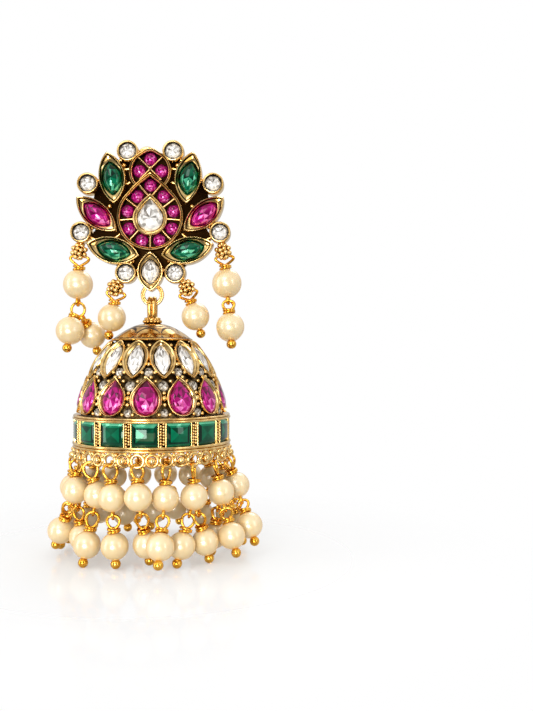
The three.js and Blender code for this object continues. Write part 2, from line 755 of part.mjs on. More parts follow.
// The pearl fringe. A row gives the upper and the lower pearl of a strand, each by its turn from
// the front, how far out it hangs from the gallery, and how far down from the band's foot.
const fringe = [
  { turn: -54.9, out: 0.9, down: 7.05, lowTurn: -67.2, lowOut: 2.55, lowDown: 14.6 },
  { turn: -36.4, out: -0.7, down: 7.5, lowTurn: -36.7, lowOut: 1.65, lowDown: 15.8 },
  { turn: -18.3, out: 1.15, down: 7.4, lowTurn: -16.7, lowOut: 1, lowDown: 15.6 },
  { turn: -0.5, out: 2.2, down: 7, lowTurn: 3.9, lowOut: 0, lowDown: 15.4 },
  { turn: 16.2, out: 0.4, down: 7.55, lowTurn: 11.7, lowOut: 4.2, lowDown: 14.95 },
  { turn: 36.5, out: 0.6, down: 7.65, lowTurn: 26.4, lowOut: 1.2, lowDown: 15.7 },
  { turn: 60.5, out: 0.95, down: 7.55, lowTurn: 57.8, lowOut: 3.8, lowDown: 14.9 },
  { turn: 80.9, out: 1.8, down: 7.1, lowTurn: 72.6, lowOut: 4.9, lowDown: 13.85 },
  { turn: 98.7, out: 0.75, down: 7.55, lowTurn: 97.2, lowOut: 2.1, lowDown: 15.35 },
  { turn: 117.7, out: 0.8, down: 7.55, lowTurn: 114.7, lowOut: 1.9, lowDown: 15.35 },
  { turn: 137.5, out: 0.8, down: 7.55, lowTurn: 130.5, lowOut: 3.4, lowDown: 14.8 },
  { turn: 157.5, out: 0.8, down: 7.55, lowTurn: 156.0, lowOut: 3.6, lowDown: 14.95 },
  { turn: 177.5, out: 0.8, down: 7.55, lowTurn: 171.9, lowOut: 3.2, lowDown: 14.95 },
  { turn: 197.5, out: 0.8, down: 7.55, lowTurn: 197.3, lowOut: 4, lowDown: 14.85 },
  { turn: 217.5, out: 0.8, down: 7.55, lowTurn: 210.0, lowOut: 0.7, lowDown: 15.25 },
  { turn: 237.5, out: 0.8, down: 7.55, lowTurn: 240.6, lowOut: 1.9, lowDown: 15.35 },
  { turn: 257.5, out: 0.8, down: 7.55, lowTurn: 258.1, lowOut: 2.1, lowDown: 15.35 },
  { turn: 276.5, out: 0.3, down: 7.55, lowTurn: 275.1, lowOut: 2, lowDown: 15.35 },
];
const eyeZ = GALLERY_Z - GALLERY_RING + GALLERY_WIRE + LINK_GAP + EYE_WIRE - EYE;
fringe.forEach((row, k) => {
  const ringTurn = FIRST_RING + STRAND_STEP * ((k + STRANDS - 3) % STRANDS);
  const upper = around(row.turn, GALLERY_RADIUS + row.out, BAND_FOOT - row.down);
  const lower = around(row.lowTurn, GALLERY_RADIUS + row.lowOut, BAND_FOOT - row.lowDown);
  const lean = lower.map((value, i) => value - upper[i]);
  const drawn = (PEARL + BALL * 0.75) / Math.hypot(...lean);
  const ball = lower.map((value, i) => value + lean[i] * drawn);
  const beads = [
    { at: upper, radius: PEARL },
    { at: lower, radius: PEARL },
    { at: ball, radius: BALL },
  ];
  const eyeAt = around(ringTurn, GALLERY_RADIUS, eyeZ);
  const name = "fringe_strand_" + String(k + 1).padStart(2, "0");
  addPiece(name, strand(EYE, ringTurn + EYE_TWIST, eyeAt, beads, []), pearl);
});

export default root;
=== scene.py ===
"""A jhumka earring: a lotus stud with stones and pearl drops, and a bell-shaped dome with a pearl
fringe that swings from a ring under the lotus. Sizes are in millimetres and each mesh is made in
metres; +Z is up and -Y faces the viewer."""
import bpy
import numpy as np
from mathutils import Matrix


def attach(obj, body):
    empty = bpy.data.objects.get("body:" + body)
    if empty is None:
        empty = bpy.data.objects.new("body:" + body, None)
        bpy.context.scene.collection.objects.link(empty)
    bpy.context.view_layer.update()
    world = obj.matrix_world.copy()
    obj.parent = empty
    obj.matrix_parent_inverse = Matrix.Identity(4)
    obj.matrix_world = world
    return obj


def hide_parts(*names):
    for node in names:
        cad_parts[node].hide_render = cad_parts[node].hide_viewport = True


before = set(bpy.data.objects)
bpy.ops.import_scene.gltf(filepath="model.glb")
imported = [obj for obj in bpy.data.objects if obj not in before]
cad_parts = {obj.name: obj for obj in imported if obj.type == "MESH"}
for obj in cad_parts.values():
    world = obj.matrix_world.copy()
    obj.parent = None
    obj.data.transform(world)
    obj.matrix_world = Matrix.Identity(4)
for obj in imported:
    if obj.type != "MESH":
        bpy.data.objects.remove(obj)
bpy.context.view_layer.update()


# The lotus frame. It is one casting of brass: a back plate that carries seven leaf-shaped
# settings, eight round ones, the two drop-shaped walls in the middle and the crown petal. It is
# plated with antique gold, dark in the recesses and rubbed bright on the rims. The dark in the
# recesses is painted: partly the patina of the antique plate, partly painted shade.
MM = 0.001
BACK_PLATE = 1.2
STONE_FLOOR = 1.45
PETAL_STONE_TOP = 3.0
PETALS = {
    "upper_emerald": {"tip": (7.93, 8.97), "tail": (6.57, -0.6), "left": 2.8, "right": 2.2},
    "side_ruby": {"tip": (13.5, 0.65), "tail": (6.15, -5.55), "left": 2.2, "right": 2.5},
    "lower_emerald": {"tip": (11.65, -7.95), "tail": (1.95, -10.1), "left": 2.35, "right": 2.65},
    "base_crystal": {"tip": (0, -9.4), "tail": (0, -16.7), "left": 2.4, "right": 2.4},
}
ROUNDS = {"top": (4.2, 9.18), "shoulder": (11.55, 3.2), "side": (12.8, -5.8), "base": (4.54, -13.25)}
BACKING = ((0, 8.8), (5.7, 8.2), (7.4, 5.6), (10.2, 2.9), (10.9, -0.4), (9.8, -4.3), (11.4, -6.7),
           (7.6, -10.6), (5.0, -13.4), (0, -14.4))
OUTER_DROP = {"centre": -3.05, "radius": 6.15, "tip": 5.25}
INNER_DROP = {"centre": -3.25, "radius": 3.2, "tip": 1.35}
CROWN = {"centre": 5.4, "radius": 3.95, "tip": 9.75}
# How a leaf-shaped setting rises from its back edge over the rim to its floor: shares of its
# length and width, height in front of the back, how dark it is painted (patina and painted
# shade) and how far it is milled.
LEAF_STEPS = (
    # long, wide, height, recess, milled
    (1.0, 1.0, 0.06, 0.1, 0),
    (1.0, 1.0, 1.3, 0.4, 0),
    (1.0, 1.0, 2.6, 0.15, 1),
    (0.99, 0.98, 2.84, 0.0, 1),
    (0.967, 0.945, 2.98, 0.0, 0),
    (0.93, 0.9, 2.98, 0.0, 0),
    (0.9, 0.865, 2.86, 0.0, 0),
    (0.892, 0.855, 2.3, 1.0, 0),
    (0.852, 0.8, 2.25, 1.0, 0),
    (0.84, 0.785, 2.5, 0.0, 0),
    (0.75, 0.757, 2.42, 0.0, 0),
    (0.66, 0.732, 2.3, 0.1, 0),
    (0.64, 0.72, 2.1, 0.8, 0),
    (0.63, 0.71, 1.5, 1.0, 0),
)


def skin(rings, recess=0.0, milled=0.0, laps=1, loop=False):
    """A surface through rings of points. Point (i, j) lies on ring i, at share j of the way round
    it, and four neighbours make a face. A fan from the middle of the first and of the last ring
    closes the ends, or with loop the last ring joins the first. recess and milled hold one number
    a ring or one a point, and the UV map counts laps round a ring and one from end to end."""
    rings = np.asarray(rings, float)
    count, sides = rings.shape[:2]
    spread = [np.asarray(value, float) for value in (recess, milled)]
    spread = [value[:, None] if value.ndim == 1 else value for value in spread]
    dark, mill = (np.broadcast_to(value, (count, sides)).ravel() for value in spread)
    points = rings.reshape(-1, 3)
    index = np.arange(count * sides).reshape(count, sides)
    near, far = (index, np.roll(index, -1, 0)) if loop else (index[:-1], index[1:])
    quads = np.stack([near, np.roll(near, -1, 1), np.roll(far, -1, 1), far], -1).reshape(-1, 4)
    u = np.arange(sides)[None, :, None] + np.array([0, 1, 1, 0])
    v = np.arange(len(near))[:, None, None] + np.array([0, 0, 1, 1])
    u, v = np.broadcast_arrays(u * laps / sides, v / len(near))
    quad_uv = np.stack([u, v], -1).reshape(-1, 4, 2)
    tris = np.zeros((0, 3), int)
    if not loop:
        points = np.vstack([points, rings[0].mean(0), rings[-1].mean(0)])
        dark = np.append(dark, [dark[0], dark[-1]])
        mill = np.append(mill, [0, 0])
        start, end = len(points) - 2, len(points) - 1
        first, last = index[0], index[-1]
        tris = np.vstack([
            np.stack([np.roll(first, -1), first, np.full(sides, start)], 1),
            np.stack([last, np.roll(last, -1), np.full(sides, end)], 1),
        ])
    return outward({
        "points": points, "recess": dark, "milled": mill, "quads": quads, "quad_uv": quad_uv,
        "tris": tris, "tone": np.zeros(len(quads) + len(tris)),
    })


def outward(patch):
    """The patch with its faces turned outwards: they are reversed where the volume that they
    enclose, the sum of point . (next x after) over its triangles, is below nothing."""
    points, quads = patch["points"], patch["quads"]
    corners = points[np.vstack([quads[:, [0, 1, 2]], quads[:, [0, 2, 3]], patch["tris"]])]
    if np.einsum("ij,ij->", corners[:, 0], np.cross(corners[:, 1], corners[:, 2])) < 0:
        patch["quads"] = quads[:, ::-1]
        patch["quad_uv"] = patch["quad_uv"][:, ::-1]
        patch["tris"] = patch["tris"][:, ::-1]
    return patch


def plain(points, quads, tris):
    """A patch without recess, milling, tone or UV map, with its faces turned outwards."""
    return outward({
        "points": points, "recess": np.zeros(len(points)), "milled": np.zeros(len(points)),
        "quads": quads, "quad_uv": np.zeros((len(quads), 4, 2)), "tris": tris,
        "tone": np.zeros(len(quads) + len(tris)),
    })


def piece(name, layers, body, stands_for=(), slot=None, crease=40, flat=()):
    """One object from layers, pairs of a finish and its patches. A crease sharper than that many
    degrees stays an edge, and the faces of the finishes in flat aren't smoothed."""
    patches = [(k, patch) for k, (_, group) in enumerate(layers) for patch in group]
    starts = np.cumsum([0] + [len(patch["points"]) for _, patch in patches])
    points = np.vstack([patch["points"] for _, patch in patches]) * MM
    loops, sizes, uvs, tones, looks = [], [], [], [], []
    for start, (k, patch) in zip(starts, patches):
        loops += [patch["quads"].ravel() + start, patch["tris"].ravel() + start]
        sizes += [np.full(len(patch["quads"]), 4), np.full(len(patch["tris"]), 3)]
        uvs += [patch["quad_uv"].reshape(-1, 2), np.zeros((patch["tris"].size, 2))]
        tones.append(patch["tone"])
        looks.append(np.full(len(patch["tone"]), k))
    loops, sizes, looks = np.concatenate(loops), np.concatenate(sizes), np.concatenate(looks)
    mesh = bpy.data.meshes.new(name)
    mesh.vertices.add(len(points))
    mesh.vertices.foreach_set("co", points.ravel())
    mesh.loops.add(len(loops))
    mesh.loops.foreach_set("vertex_index", loops)
    mesh.polygons.add(len(sizes))
    mesh.polygons.foreach_set("loop_start", np.cumsum(sizes) - sizes)
    mesh.polygons.foreach_set("material_index", looks)
    mesh.polygons.foreach_set("use_smooth", ~np.isin(looks, flat))
    mesh.update(calc_edges=True)
    mesh.uv_layers.new(name="round").data.foreach_set("uv", np.vstack(uvs).ravel())
    for key in ("recess", "milled"):
        values = np.concatenate([patch[key] for _, patch in patches])
        mesh.attributes.new(key, "FLOAT", "POINT").data.foreach_set("value", values)
    mesh.attributes.new("tone", "FLOAT", "FACE").data.foreach_set("value", np.concatenate(tones))
    mesh.set_sharp_from_angle(angle=np.radians(crease))
    for finish, _ in layers:
        mesh.materials.append(finish)
    made = bpy.data.objects.new(name, mesh)
    bpy.context.scene.collection.objects.link(made)
    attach(made, body)
    if stands_for:
        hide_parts(*stands_for)
    return made


class Reading:
    """A number that changes over a surface: one output of a node. Sums and products of readings
    and numbers add Math nodes."""

    def __init__(self, finish, socket):
        self.finish = finish
        self.socket = socket

    def _with(self, operation, *values):
        """The reading of one Math node."""
        return self.finish.node("ShaderNodeMath", {"operation": operation}, dict(enumerate(values)))

    def __add__(self, other):
        return self._with("ADD", self, other)

    def __sub__(self, other):
        return self._with("SUBTRACT", self, other)

    def __rsub__(self, other):
        return self._with("SUBTRACT", other, self)

    def __mul__(self, other):
        return self._with("MULTIPLY", self, other)

    __radd__ = __add__
    __rmul__ = __mul__

    def sine(self):
        """The sine of the reading, in radians."""
        return self._with("SINE", self)

    def between(self, low, high):
        """0 up to low, 1 from high, and a smooth step between."""
        return self.finish.node(
            "ShaderNodeMapRange", {"interpolation_type": "SMOOTHSTEP"},
            {"Value": self, "From Min": low, "From Max": high})


class Nodes:
    """A tree of shader nodes. node adds any node from its type, its settings and the values or
    readings of its sockets."""

    def __init__(self, tree):
        self.tree = tree

    def node(self, kind, settings=None, values=None, output=0):
        """A new node, and the reading of one of its outputs."""
        made = self.tree.nodes.new(kind)
        for key, value in (settings or {}).items():
            if key == "stops":
                ramp = made.color_ramp.elements
                for k, (place, colour) in enumerate(value):
                    stop = ramp[k] if k < 2 else ramp.new(place)
                    stop.position, stop.color = place, (*colour, 1)
            else:
                setattr(made, key, value)
        for key, value in (values or {}).items():
            self.feed(made.inputs[key], value)
        return Reading(self, made.outputs[output])

    def feed(self, socket, value):
        """Link a reading to the socket, or set the socket's own value."""
        if isinstance(value, Reading):
            self.tree.links.new(value.socket, socket)
        else:
            socket.default_value = value

    def mix(self, share, first, second):
        """A colour: first where share is 0, second where it is 1, in a straight line between."""
        return self.node("ShaderNodeMix", {"data_type": "RGBA"}, {0: share, 6: first, 7: second}, 2)


class Finish(Nodes):
    """A material with one Principled shader: settings give the values of its sockets."""

    def __init__(self, name, **settings):
        self.material = bpy.data.materials.new(name)
        self.material.use_nodes = True
        super().__init__(self.material.node_tree)
        self.shader = next(n for n in self.tree.nodes if n.type == "BSDF_PRINCIPLED")
        self.set(**settings)

    def set(self, **values):
        """Values or readings for the shader's sockets, with _ for a space in a socket's name."""
        for key, value in values.items():
            self.feed(self.shader.inputs[key.replace("_", " ")], value)

    def attribute(self, name):
        """A number that the mesh holds for each point or face."""
        return self.node("ShaderNodeAttribute", {"attribute_name": name}, output="Fac")

    def noise(self, size_mm, detail=2.0):
        """Cloudy noise whose lumps are about that wide, on the object's own coordinates."""
        place = self.node("ShaderNodeTexCoord", output="Object")
        return self.node("ShaderNodeTexNoise", None,
                         {"Vector": place, "Scale": 1 / (size_mm * MM), "Detail": detail})

    def bump(self, height, distance_mm):
        """Relief: the surface seems to rise by distance_mm where the reading height grows by 1."""
        self.set(Normal=self.node("ShaderNodeBump", None, {
            "Height": height, "Distance": distance_mm * MM, "Strength": 1.0}))


def plated(name, bright, warm, dark, rough, relief=0.6):
    """Gold plate. Its colour drifts between bright and warm with cloudy noise and turns dark
    where recess, raised or lowered a little by the noise, passes the middle. That dark is partly
    the patina of antique gold in its hollows and partly painted shade. Milled edges are
    cut with a sine wave along the UV map, and fine pits and dents, as deep as relief says, dull
    the gloss."""
    finish = Finish(name, Metallic=1.0)
    cloud = finish.noise(1.1)
    grain = finish.noise(0.12, 3.0)
    # Painted shade and patina: recess, shifted by noise, turns the gold dark.
    patina_and_shade = (finish.attribute("recess") + (cloud - 0.5) * 0.45).between(0.3, 0.8)
    body = finish.mix(cloud.between(0.35, 0.7), (*bright, 1), (*warm, 1))
    finish.set(
        Base_Color=finish.mix(patina_and_shade, body, (*dark, 1)),
        Roughness=rough + grain.between(0.4, 0.8) * 0.08 + patina_and_shade * 0.35,
    )
    across = finish.node("ShaderNodeUVMap", {"uv_map": "round"})
    along = finish.node("ShaderNodeSeparateXYZ", None, {0: across})
    teeth = (along * (2 * np.pi)).sine() * finish.attribute("milled")
    finish.bump(teeth * 0.5 + (grain * 0.1 + cloud * 0.3) * relief, 0.05)
    return finish.material


antique_gold = plated(
    "antique_gold", (0.88, 0.62, 0.27), (0.68, 0.42, 0.13), (0.016, 0.007, 0.002), 0.14)


def leaf(row, long, wide, count, phase=0.0):
    """Two arcs between a tip and a tail. At share t of the way each edge stands its bulge times
    (4 t (1 - t)) ** 0.8 to the side, and long and wide shrink it about its middle."""
    tip, tail = np.array(row["tip"], float), np.array(row["tail"], float)
    middle, half = (tip + tail) / 2, (tail - tip) / 2
    side = np.array([half[1], -half[0]]) / np.hypot(*half)
    share = (1 - np.cos(np.pi * (np.arange(count) + phase) / count)) / 2
    t = np.concatenate([share, 1 - share])
    bulge = np.repeat([row["left"], -row["right"]], count)
    off = bulge * wide * (4 * t * (1 - t)) ** 0.8
    return middle + np.outer((2 * t - 1) * long, half) + np.outer(off, side)


def drop(row, grow, count, phase=0.0):
    """A circle with two sides that meet in a point above it, moved out by grow: everything is
    scaled about the circle's centre by 1 + grow / radius. The sides are a little full."""
    rise = row["tip"] - row["centre"]
    lean = np.arccos(row["radius"] / rise)
    share = (np.arange(count) + phase) / count
    angle = 2 * np.pi * share
    turned = np.minimum(angle, 2 * np.pi - angle)
    straight = row["radius"] / np.cos(np.maximum(lean - turned, 0))
    full = 1 + 0.035 * np.sin(np.pi * np.clip(turned / lean, 0, 1))
    reach = straight * full * (1 + grow / row["radius"])
    return np.stack([reach * np.sin(angle), row["centre"] + reach * np.cos(angle)], 1)


def circle(centre, radius, count, phase=0.0):
    """Points of a circle: the centre plus the radius times the sine and cosine of even turns."""
    angle = 2 * np.pi * (np.arange(count) + phase) / count
    return np.array(centre) + radius * np.stack([np.sin(angle), np.cos(angle)], 1)


def lifted(outline, height):
    """An outline drawn on the lotus, moved forward from its flat back: (x, z) becomes
    (x, -height, z)."""
    return np.stack([outline[:, 0], np.full(len(outline), -height), outline[:, 1]], 1)


def mirrored(outline):
    """The outline on the other side of the lotus: x becomes -x."""
    return outline * (-1, 1)


def stepped(outline_at, steps, laps=1):
    """A setting: each step gives an outline, its height, its recess and its milling, and a skin
    joins the outlines, each moved forward by its height."""
    rings = [lifted(outline_at(*step[:-3]), step[-3]) for step in steps]
    return skin(rings, [step[-2] for step in steps], [step[-1] for step in steps], laps)


# Steps of a wall that follows an outline at a distance inwards.
WALL_STEPS = (
    # inwards, height, recess, milled
    (0.0, 0.14, 0.1, 0), (0.0, 1.5, 0.4, 0), (0.0, 2.6, 0.1, 1), (0.05, 2.86, 0.0, 1),
    (0.14, 2.98, 0.0, 0), (0.24, 2.94, 0.0, 0), (0.28, 2.66, 1.0, 0), (0.36, 2.66, 1.0, 0),
    (0.4, 2.94, 0.0, 0), (0.49, 3.0, 0.0, 0), (0.58, 2.9, 0.0, 0), (0.64, 2.6, 0.6, 0),
    (0.68, 1.7, 1.0, 0), (0.72, 1.45, 1.0, 0),
)
INNER_STEPS = (
    (0.0, 1.0, 1.0, 0), (0.0, 2.2, 0.5, 0), (0.02, 2.75, 0.0, 0), (0.1, 2.9, 0.0, 0),
    (0.24, 2.94, 0.0, 0), (0.34, 2.82, 0.0, 0), (0.42, 2.5, 1.0, 0), (0.48, 2.5, 0.3, 0),
    (0.55, 2.5, 0.0, 0), (0.76, 2.3, 0.1, 0), (0.86, 1.9, 0.9, 0), (0.9, 1.85, 1.0, 0),
)
ROUND_STEPS = (
    (1.98, 0.1, 0.1, 0), (1.98, 1.4, 0.4, 0), (1.98, 2.35, 0.0, 0), (1.92, 2.6, 0.0, 0),
    (1.8, 2.74, 0.0, 0), (1.68, 2.74, 0.0, 0), (1.6, 2.62, 0.1, 0), (1.56, 2.3, 0.9, 0),
    (1.53, 1.6, 1.0, 0),
)
ROSETTES = (((13.35, -9.2), "side"), ((6.65, -15.95), "base"))


def balls(centres, radius, rows=6, sides=10, turn=0.0):
    """Balls round the centres, all in one patch: ring i of each lies at polar angle
    pi i / (rows + 1) and a single point closes each pole."""
    centres = np.asarray(centres, float).reshape(-1, 3)
    radius = np.broadcast_to(np.asarray(radius, float), (len(centres),))
    polar = np.pi * np.arange(1, rows + 1) / (rows + 1)
    round_it = 2 * np.pi * np.arange(sides) / sides
    unit = np.stack(np.broadcast_arrays(
        np.sin(polar)[:, None] * np.sin(round_it), np.sin(polar)[:, None] * np.cos(round_it),
        np.cos(polar)[:, None]), -1).reshape(-1, 3)
    unit = np.vstack([unit, [[0, 0, 1], [0, 0, -1]]])
    points = (centres[:, None] + unit * radius[:, None, None]).reshape(-1, 3)
    index = np.arange(rows * sides).reshape(rows, sides)
    quads = np.stack([index[:-1], index[1:], np.roll(index[1:], -1, 1), np.roll(index[:-1], -1, 1)], -1)
    first, last, pole = index[0], index[-1], rows * sides
    tris = np.vstack([
        np.stack([first, np.roll(first, -1), np.full(sides, pole)], 1),
        np.stack([np.roll(last, -1), last, np.full(sides, pole + 1)], 1),
    ])
    shift = len(unit) * np.arange(len(centres))[:, None, None]
    quads, tris = (quads.reshape(-1, 4) + shift).reshape(-1, 4), (tris + shift).reshape(-1, 3)
    return plain(points, quads, tris)


def ridge(start, end, width, height, foot=1.1, recess=0.15):
    """A straight bar with a rounded top. Across it, at angle a from one side to the other, a
    point lies half the width times cos a from the middle and, at the top, half the width times
    1 - sin a under the height; the sides go straight down to the foot."""
    start, end = np.array(start, float), np.array(end, float)
    side = np.array([start[1] - end[1], end[0] - start[0]]) / np.hypot(*(end - start))
    angle = np.linspace(0, np.pi, 7)
    off = np.concatenate([[0.5], np.cos(angle) / 2, [-0.5]]) * width
    high = np.concatenate([[foot], height + (np.sin(angle) - 1) * width / 2, [foot]])
    rings = np.array([lifted(spot + np.outer(off, side), 0) for spot in (start, end)])
    rings[:, :, 1] = -high
    dark = np.tile(np.concatenate([[1], np.full(7, recess), [1]]), (2, 1))
    return skin(rings, dark)


CHANNEL = {"centre": -3.1, "radius": 4.42, "tip": 3.05}
CHANNEL_CELLS = 9
BAR_HALF = 1.32


def channel_points(count, phase):
    """Points at equal steps along the middle of the channel between the two drop-shaped walls,
    with the direction across it."""
    line = drop(CHANNEL, 0, 720)
    line = np.vstack([line, line[:1]])
    run = np.concatenate([[0], np.cumsum(np.hypot(*np.diff(line, axis=0).T))])
    at = run[-1] * ((np.arange(count) + phase) / count)
    point = np.stack([np.interp(at, run, line[:, k]) for k in (0, 1)], 1)
    ahead = np.stack([np.interp(at + 0.05, run, line[:, k]) for k in (0, 1)], 1) - point
    ahead /= np.linalg.norm(ahead, axis=1)[:, None]
    return point, np.stack([-ahead[:, 1], ahead[:, 0]], 1)


frame_parts = []
plate_line = np.array(BACKING, float)
plate_line = np.vstack([plate_line, mirrored(plate_line)[-2:0:-1]])
frame_parts.append(skin(
    [lifted(plate_line, 0), lifted(plate_line, BACK_PLATE - 0.1), lifted(plate_line * 0.99, BACK_PLATE)],
    [0.1, 0.6, 1.0]))
for petal, row in PETALS.items():
    for flip in (1,) if petal == "base_crystal" else (1, -1):
        frame_parts.append(stepped(
            lambda long, wide: leaf(row, long, wide, 40) * (flip, 1), LEAF_STEPS, 84))
for x, z in ROUNDS.values():
    for flip in (1, -1):
        frame_parts.append(stepped(lambda radius: circle((x * flip, z), radius, 48), ROUND_STEPS))
frame_parts.append(stepped(lambda inwards: drop(OUTER_DROP, -inwards, 120), WALL_STEPS, 150))
frame_parts.append(stepped(lambda inwards: drop(INNER_DROP, -inwards, 90), INNER_STEPS))
for start, across in zip(*channel_points(CHANNEL_CELLS, 0.5)):
    frame_parts.append(ridge(start - across * BAR_HALF, start + across * BAR_HALF, 0.34, 2.5))


def crown_outline(inwards, count=120):
    """The crown petal, cut off along the outer drop: a point inside the drop is moved out to it."""
    line = drop(CROWN, -inwards, count)
    edge = drop(OUTER_DROP, -0.25, 720)
    middle = np.array([0, OUTER_DROP["centre"]])
    away = line - middle
    angle = np.arctan2(away[:, 0], away[:, 1]) % (2 * np.pi)
    rim = np.hypot(*(edge - middle).T)
    reach = np.interp(angle, np.linspace(0, 2 * np.pi, 720, endpoint=False), rim, period=2 * np.pi)
    share = np.maximum(reach / np.hypot(*away.T), 1)
    return middle + away * share[:, None]


frame_parts.append(stepped(crown_outline, tuple((a, b * 0.94, c, d) for a, b, c, d in WALL_STEPS), 90))
for way in (1, -1):
    frame_parts.append(ridge((-2.35 * way, 8.15), (2.0 * way, 3.9), 0.3, 2.45))
frame_parts.append(balls([[0, -2.5, 5.98], [0, -1.9, 4.9 + 4.35]], [0.3, 0.2]))
# Webs of metal bridge the gaps between the settings, in front of the back plate.
WEBS = (
    # from x, z to x, z
    (3.5, 8.3, 5.9, 7.6), (3.4, 6.2, 5.2, 5.9), (3.9, 3.6, 5.3, 2.9), (9.2, 4.2, 10.6, 3.4),
    (10.4, -4.6, 12.0, -5.4), (5.8, -6.0, 6.9, -6.9), (10.4, -7.0, 11.6, -6.4), (2.2, -12.6, 3.8, -12.9),
    (3.4, -10.9, 4.2, -12.0),
)
for x, z, far_x, far_z in WEBS:
    for way in (1, -1):
        frame_parts.append(ridge((x * way, z), (far_x * way, far_z), 0.6, 1.46, 1.0, 0.1))
# Rounded lumps of metal fill the corners beside the webs.
GUSSETS = ((4.9, 6.7), (8.9, 3.2), (7.6, -0.9), (10.6, -4.6), (3.3, -11.0), (6.9, -6.9))
gussets = [(x * way, -1.5, z) for x, z in GUSSETS for way in (1, -1)]
frame_parts.append(balls(gussets, 0.42, 7, 12))
# Small prongs of metal hold the round stones in the channel and fill the corners beside them.
prong_spots, prong_ways = channel_points(CHANNEL_CELLS, 0.5)
prongs = [[x + a * reach, -1.9, z + b * reach] for (x, z), (a, b) in zip(prong_spots, prong_ways)
          for reach in (-1.0, 1.0)]
frame_parts.append(balls(prongs, 0.3))

# The four rosettes of grains, and the short webs of metal that join them to the round settings.
grains, grain_sizes = [], []
for (x, z), above in ROSETTES:
    for way in (1, -1):
        spot = np.array([x * way, z])
        setting = np.array(ROUNDS[above]) * (way, 1)
        frame_parts.append(ridge(setting, spot, 1.3, 1.2, 0.18, 0.4))
        seat = [lifted(circle(spot, r, 24), h) for r, h in ((1.0, 0.22), (1.1, 0.9), (0.9, 1.2))]
        frame_parts.append(skin(seat, [0.1, 0.9, 1]))
        ring, top = circle(spot, 1.2, 8, 0.3 * way), circle(spot, 0.52, 4, 0.2 * way)
        grains += [[a, -1.3, b] for a, b in ring] + [[a, -1.75, b] for a, b in top]
        grain_sizes += [0.46] * 8 + [0.43] * 4
        low = circle(spot, 1.2, 6, 0.5 + 0.3 * way)
        grains += [[a, -0.75, b] for a, b in low]
        grain_sizes += [0.42] * 6
frame_parts.append(balls(grains, grain_sizes, 9, 14))


def tube(path, axis, radius, sides=10, loop=False, recess=0.0):
    """A round wire: at each point of the path a circle stands square to the way ahead, with one
    direction kept square to axis."""
    path = np.asarray(path, float)
    ahead = np.roll(path, -1, 0) - np.roll(path, 1, 0) if loop else np.gradient(path, axis=0)
    ahead /= np.linalg.norm(ahead, axis=1)[:, None]
    out = np.cross(ahead, axis)
    out /= np.linalg.norm(out, axis=1)[:, None]
    up = np.cross(out, ahead)
    angle = 2 * np.pi * np.arange(sides) / sides
    radius = np.broadcast_to(np.asarray(radius, float), (len(path),))
    around_it = (out[:, None] * np.cos(angle)[None, :, None] + up[:, None] * np.sin(angle)[None, :, None])
    return skin(path[:, None] + around_it * radius[:, None, None], recess, loop=loop)


def unit(vector):
    """The vector divided by its length."""
    vector = np.asarray(vector, float)
    return vector / np.linalg.norm(vector)


def hoop(centre, axis, radius, wire, steps=40, sides=10, recess=0.0):
    """A ring of wire round axis: its middle line is the centre plus radius times the cosine and
    sine of the turn along two directions square to axis."""
    axis = unit(axis)
    first = unit(np.cross(axis, (0.3, 0.1, 1.0)))
    second = np.cross(axis, first)
    angle = 2 * np.pi * np.arange(steps) / steps
    path = np.array(centre) + radius * (np.outer(np.cos(angle), first) + np.outer(np.sin(angle), second))
    return tube(path, axis, wire, sides, True, recess)


# The drop ring under the lotus is two turns of wire, one inside the other, soldered to the back
# of the base petal.
SWING_Y = 0.6
SWING_Z = -18.95
DROP_RING = 1.82
ring_z = SWING_Z + DROP_RING
for radius, wire in ((DROP_RING + 0.14, 0.24), (DROP_RING - 0.22, 0.22)):
    frame_parts.append(hoop((0, SWING_Y, ring_z), (0, 1, 0), radius, wire, 56, 12, 0.3))
frame_parts.append(ridge((0, ring_z + DROP_RING - 0.5), (0, ring_z + DROP_RING + 0.6), 1.3, 0.5, -0.75))
# A ring behind the crown takes the chain that some wearers hook over the ear.
frame_parts.append(hoop((-0.8, -0.62, 8.5), (0, 1, 0), 1.62, 0.27, 48, 10))
# A staple behind each rosette takes the eye of a pearl drop.
for (x, z), _ in ROSETTES:
    for way in (1, -1):
        frame_parts.append(hoop((x * way, 0.1, z - 0.1), (1, 0, 0), 0.85, 0.24, 36, 10))
piece("lotus_casting", [(antique_gold, frame_parts)], "stud", ["lotus_frame"], "antique_gold", 50)


# The ear post is a plain wire with a rounded end, soldered upright on the back of the lotus.
post_profile = [(0.75, 0.0), (0.62, 0.18), (0.45, 0.32), (0.45, 9.9), (0.4, 10.3), (0.2, 10.5)]
post_turn = 2 * np.pi * np.arange(24) / 24
post_rings = [np.stack([r * np.sin(post_turn), np.full(24, y), r * np.cos(post_turn)], 1)
              for r, y in post_profile]
piece("post", [(antique_gold, [skin(post_rings, 0.1)])], "stud", ["ear_post"], "antique_gold")


# The stones of the lotus are cut glass with foil behind them: each has a girdle, two belts of
# facets and a table through which the facets of its underside show.
def stone_look(name, deep, middle, light, glint):
    """Cut glass on foil. Each facet has its own tone, which picks a colour between deep, middle,
    light and glint, and a faint cloud in the glass shifts it a little. The facet colours are
    painted reflections and glints."""
    finish = Finish(name, Metallic=0.2, IOR=1.35, Coat_Weight=0.2, Coat_Roughness=0.02)
    tone = finish.attribute("tone") + (finish.noise(1.2) - 0.5) * 0.3
    colour = finish.node("ShaderNodeValToRGB", {
        "stops": ((0.05, deep), (0.95, glint), (0.4, middle), (0.72, light))}, {0: tone})
    finish.set(Base_Color=colour, Roughness=0.05 + finish.noise(0.3).between(0.5, 0.8) * 0.05)
    return finish.material


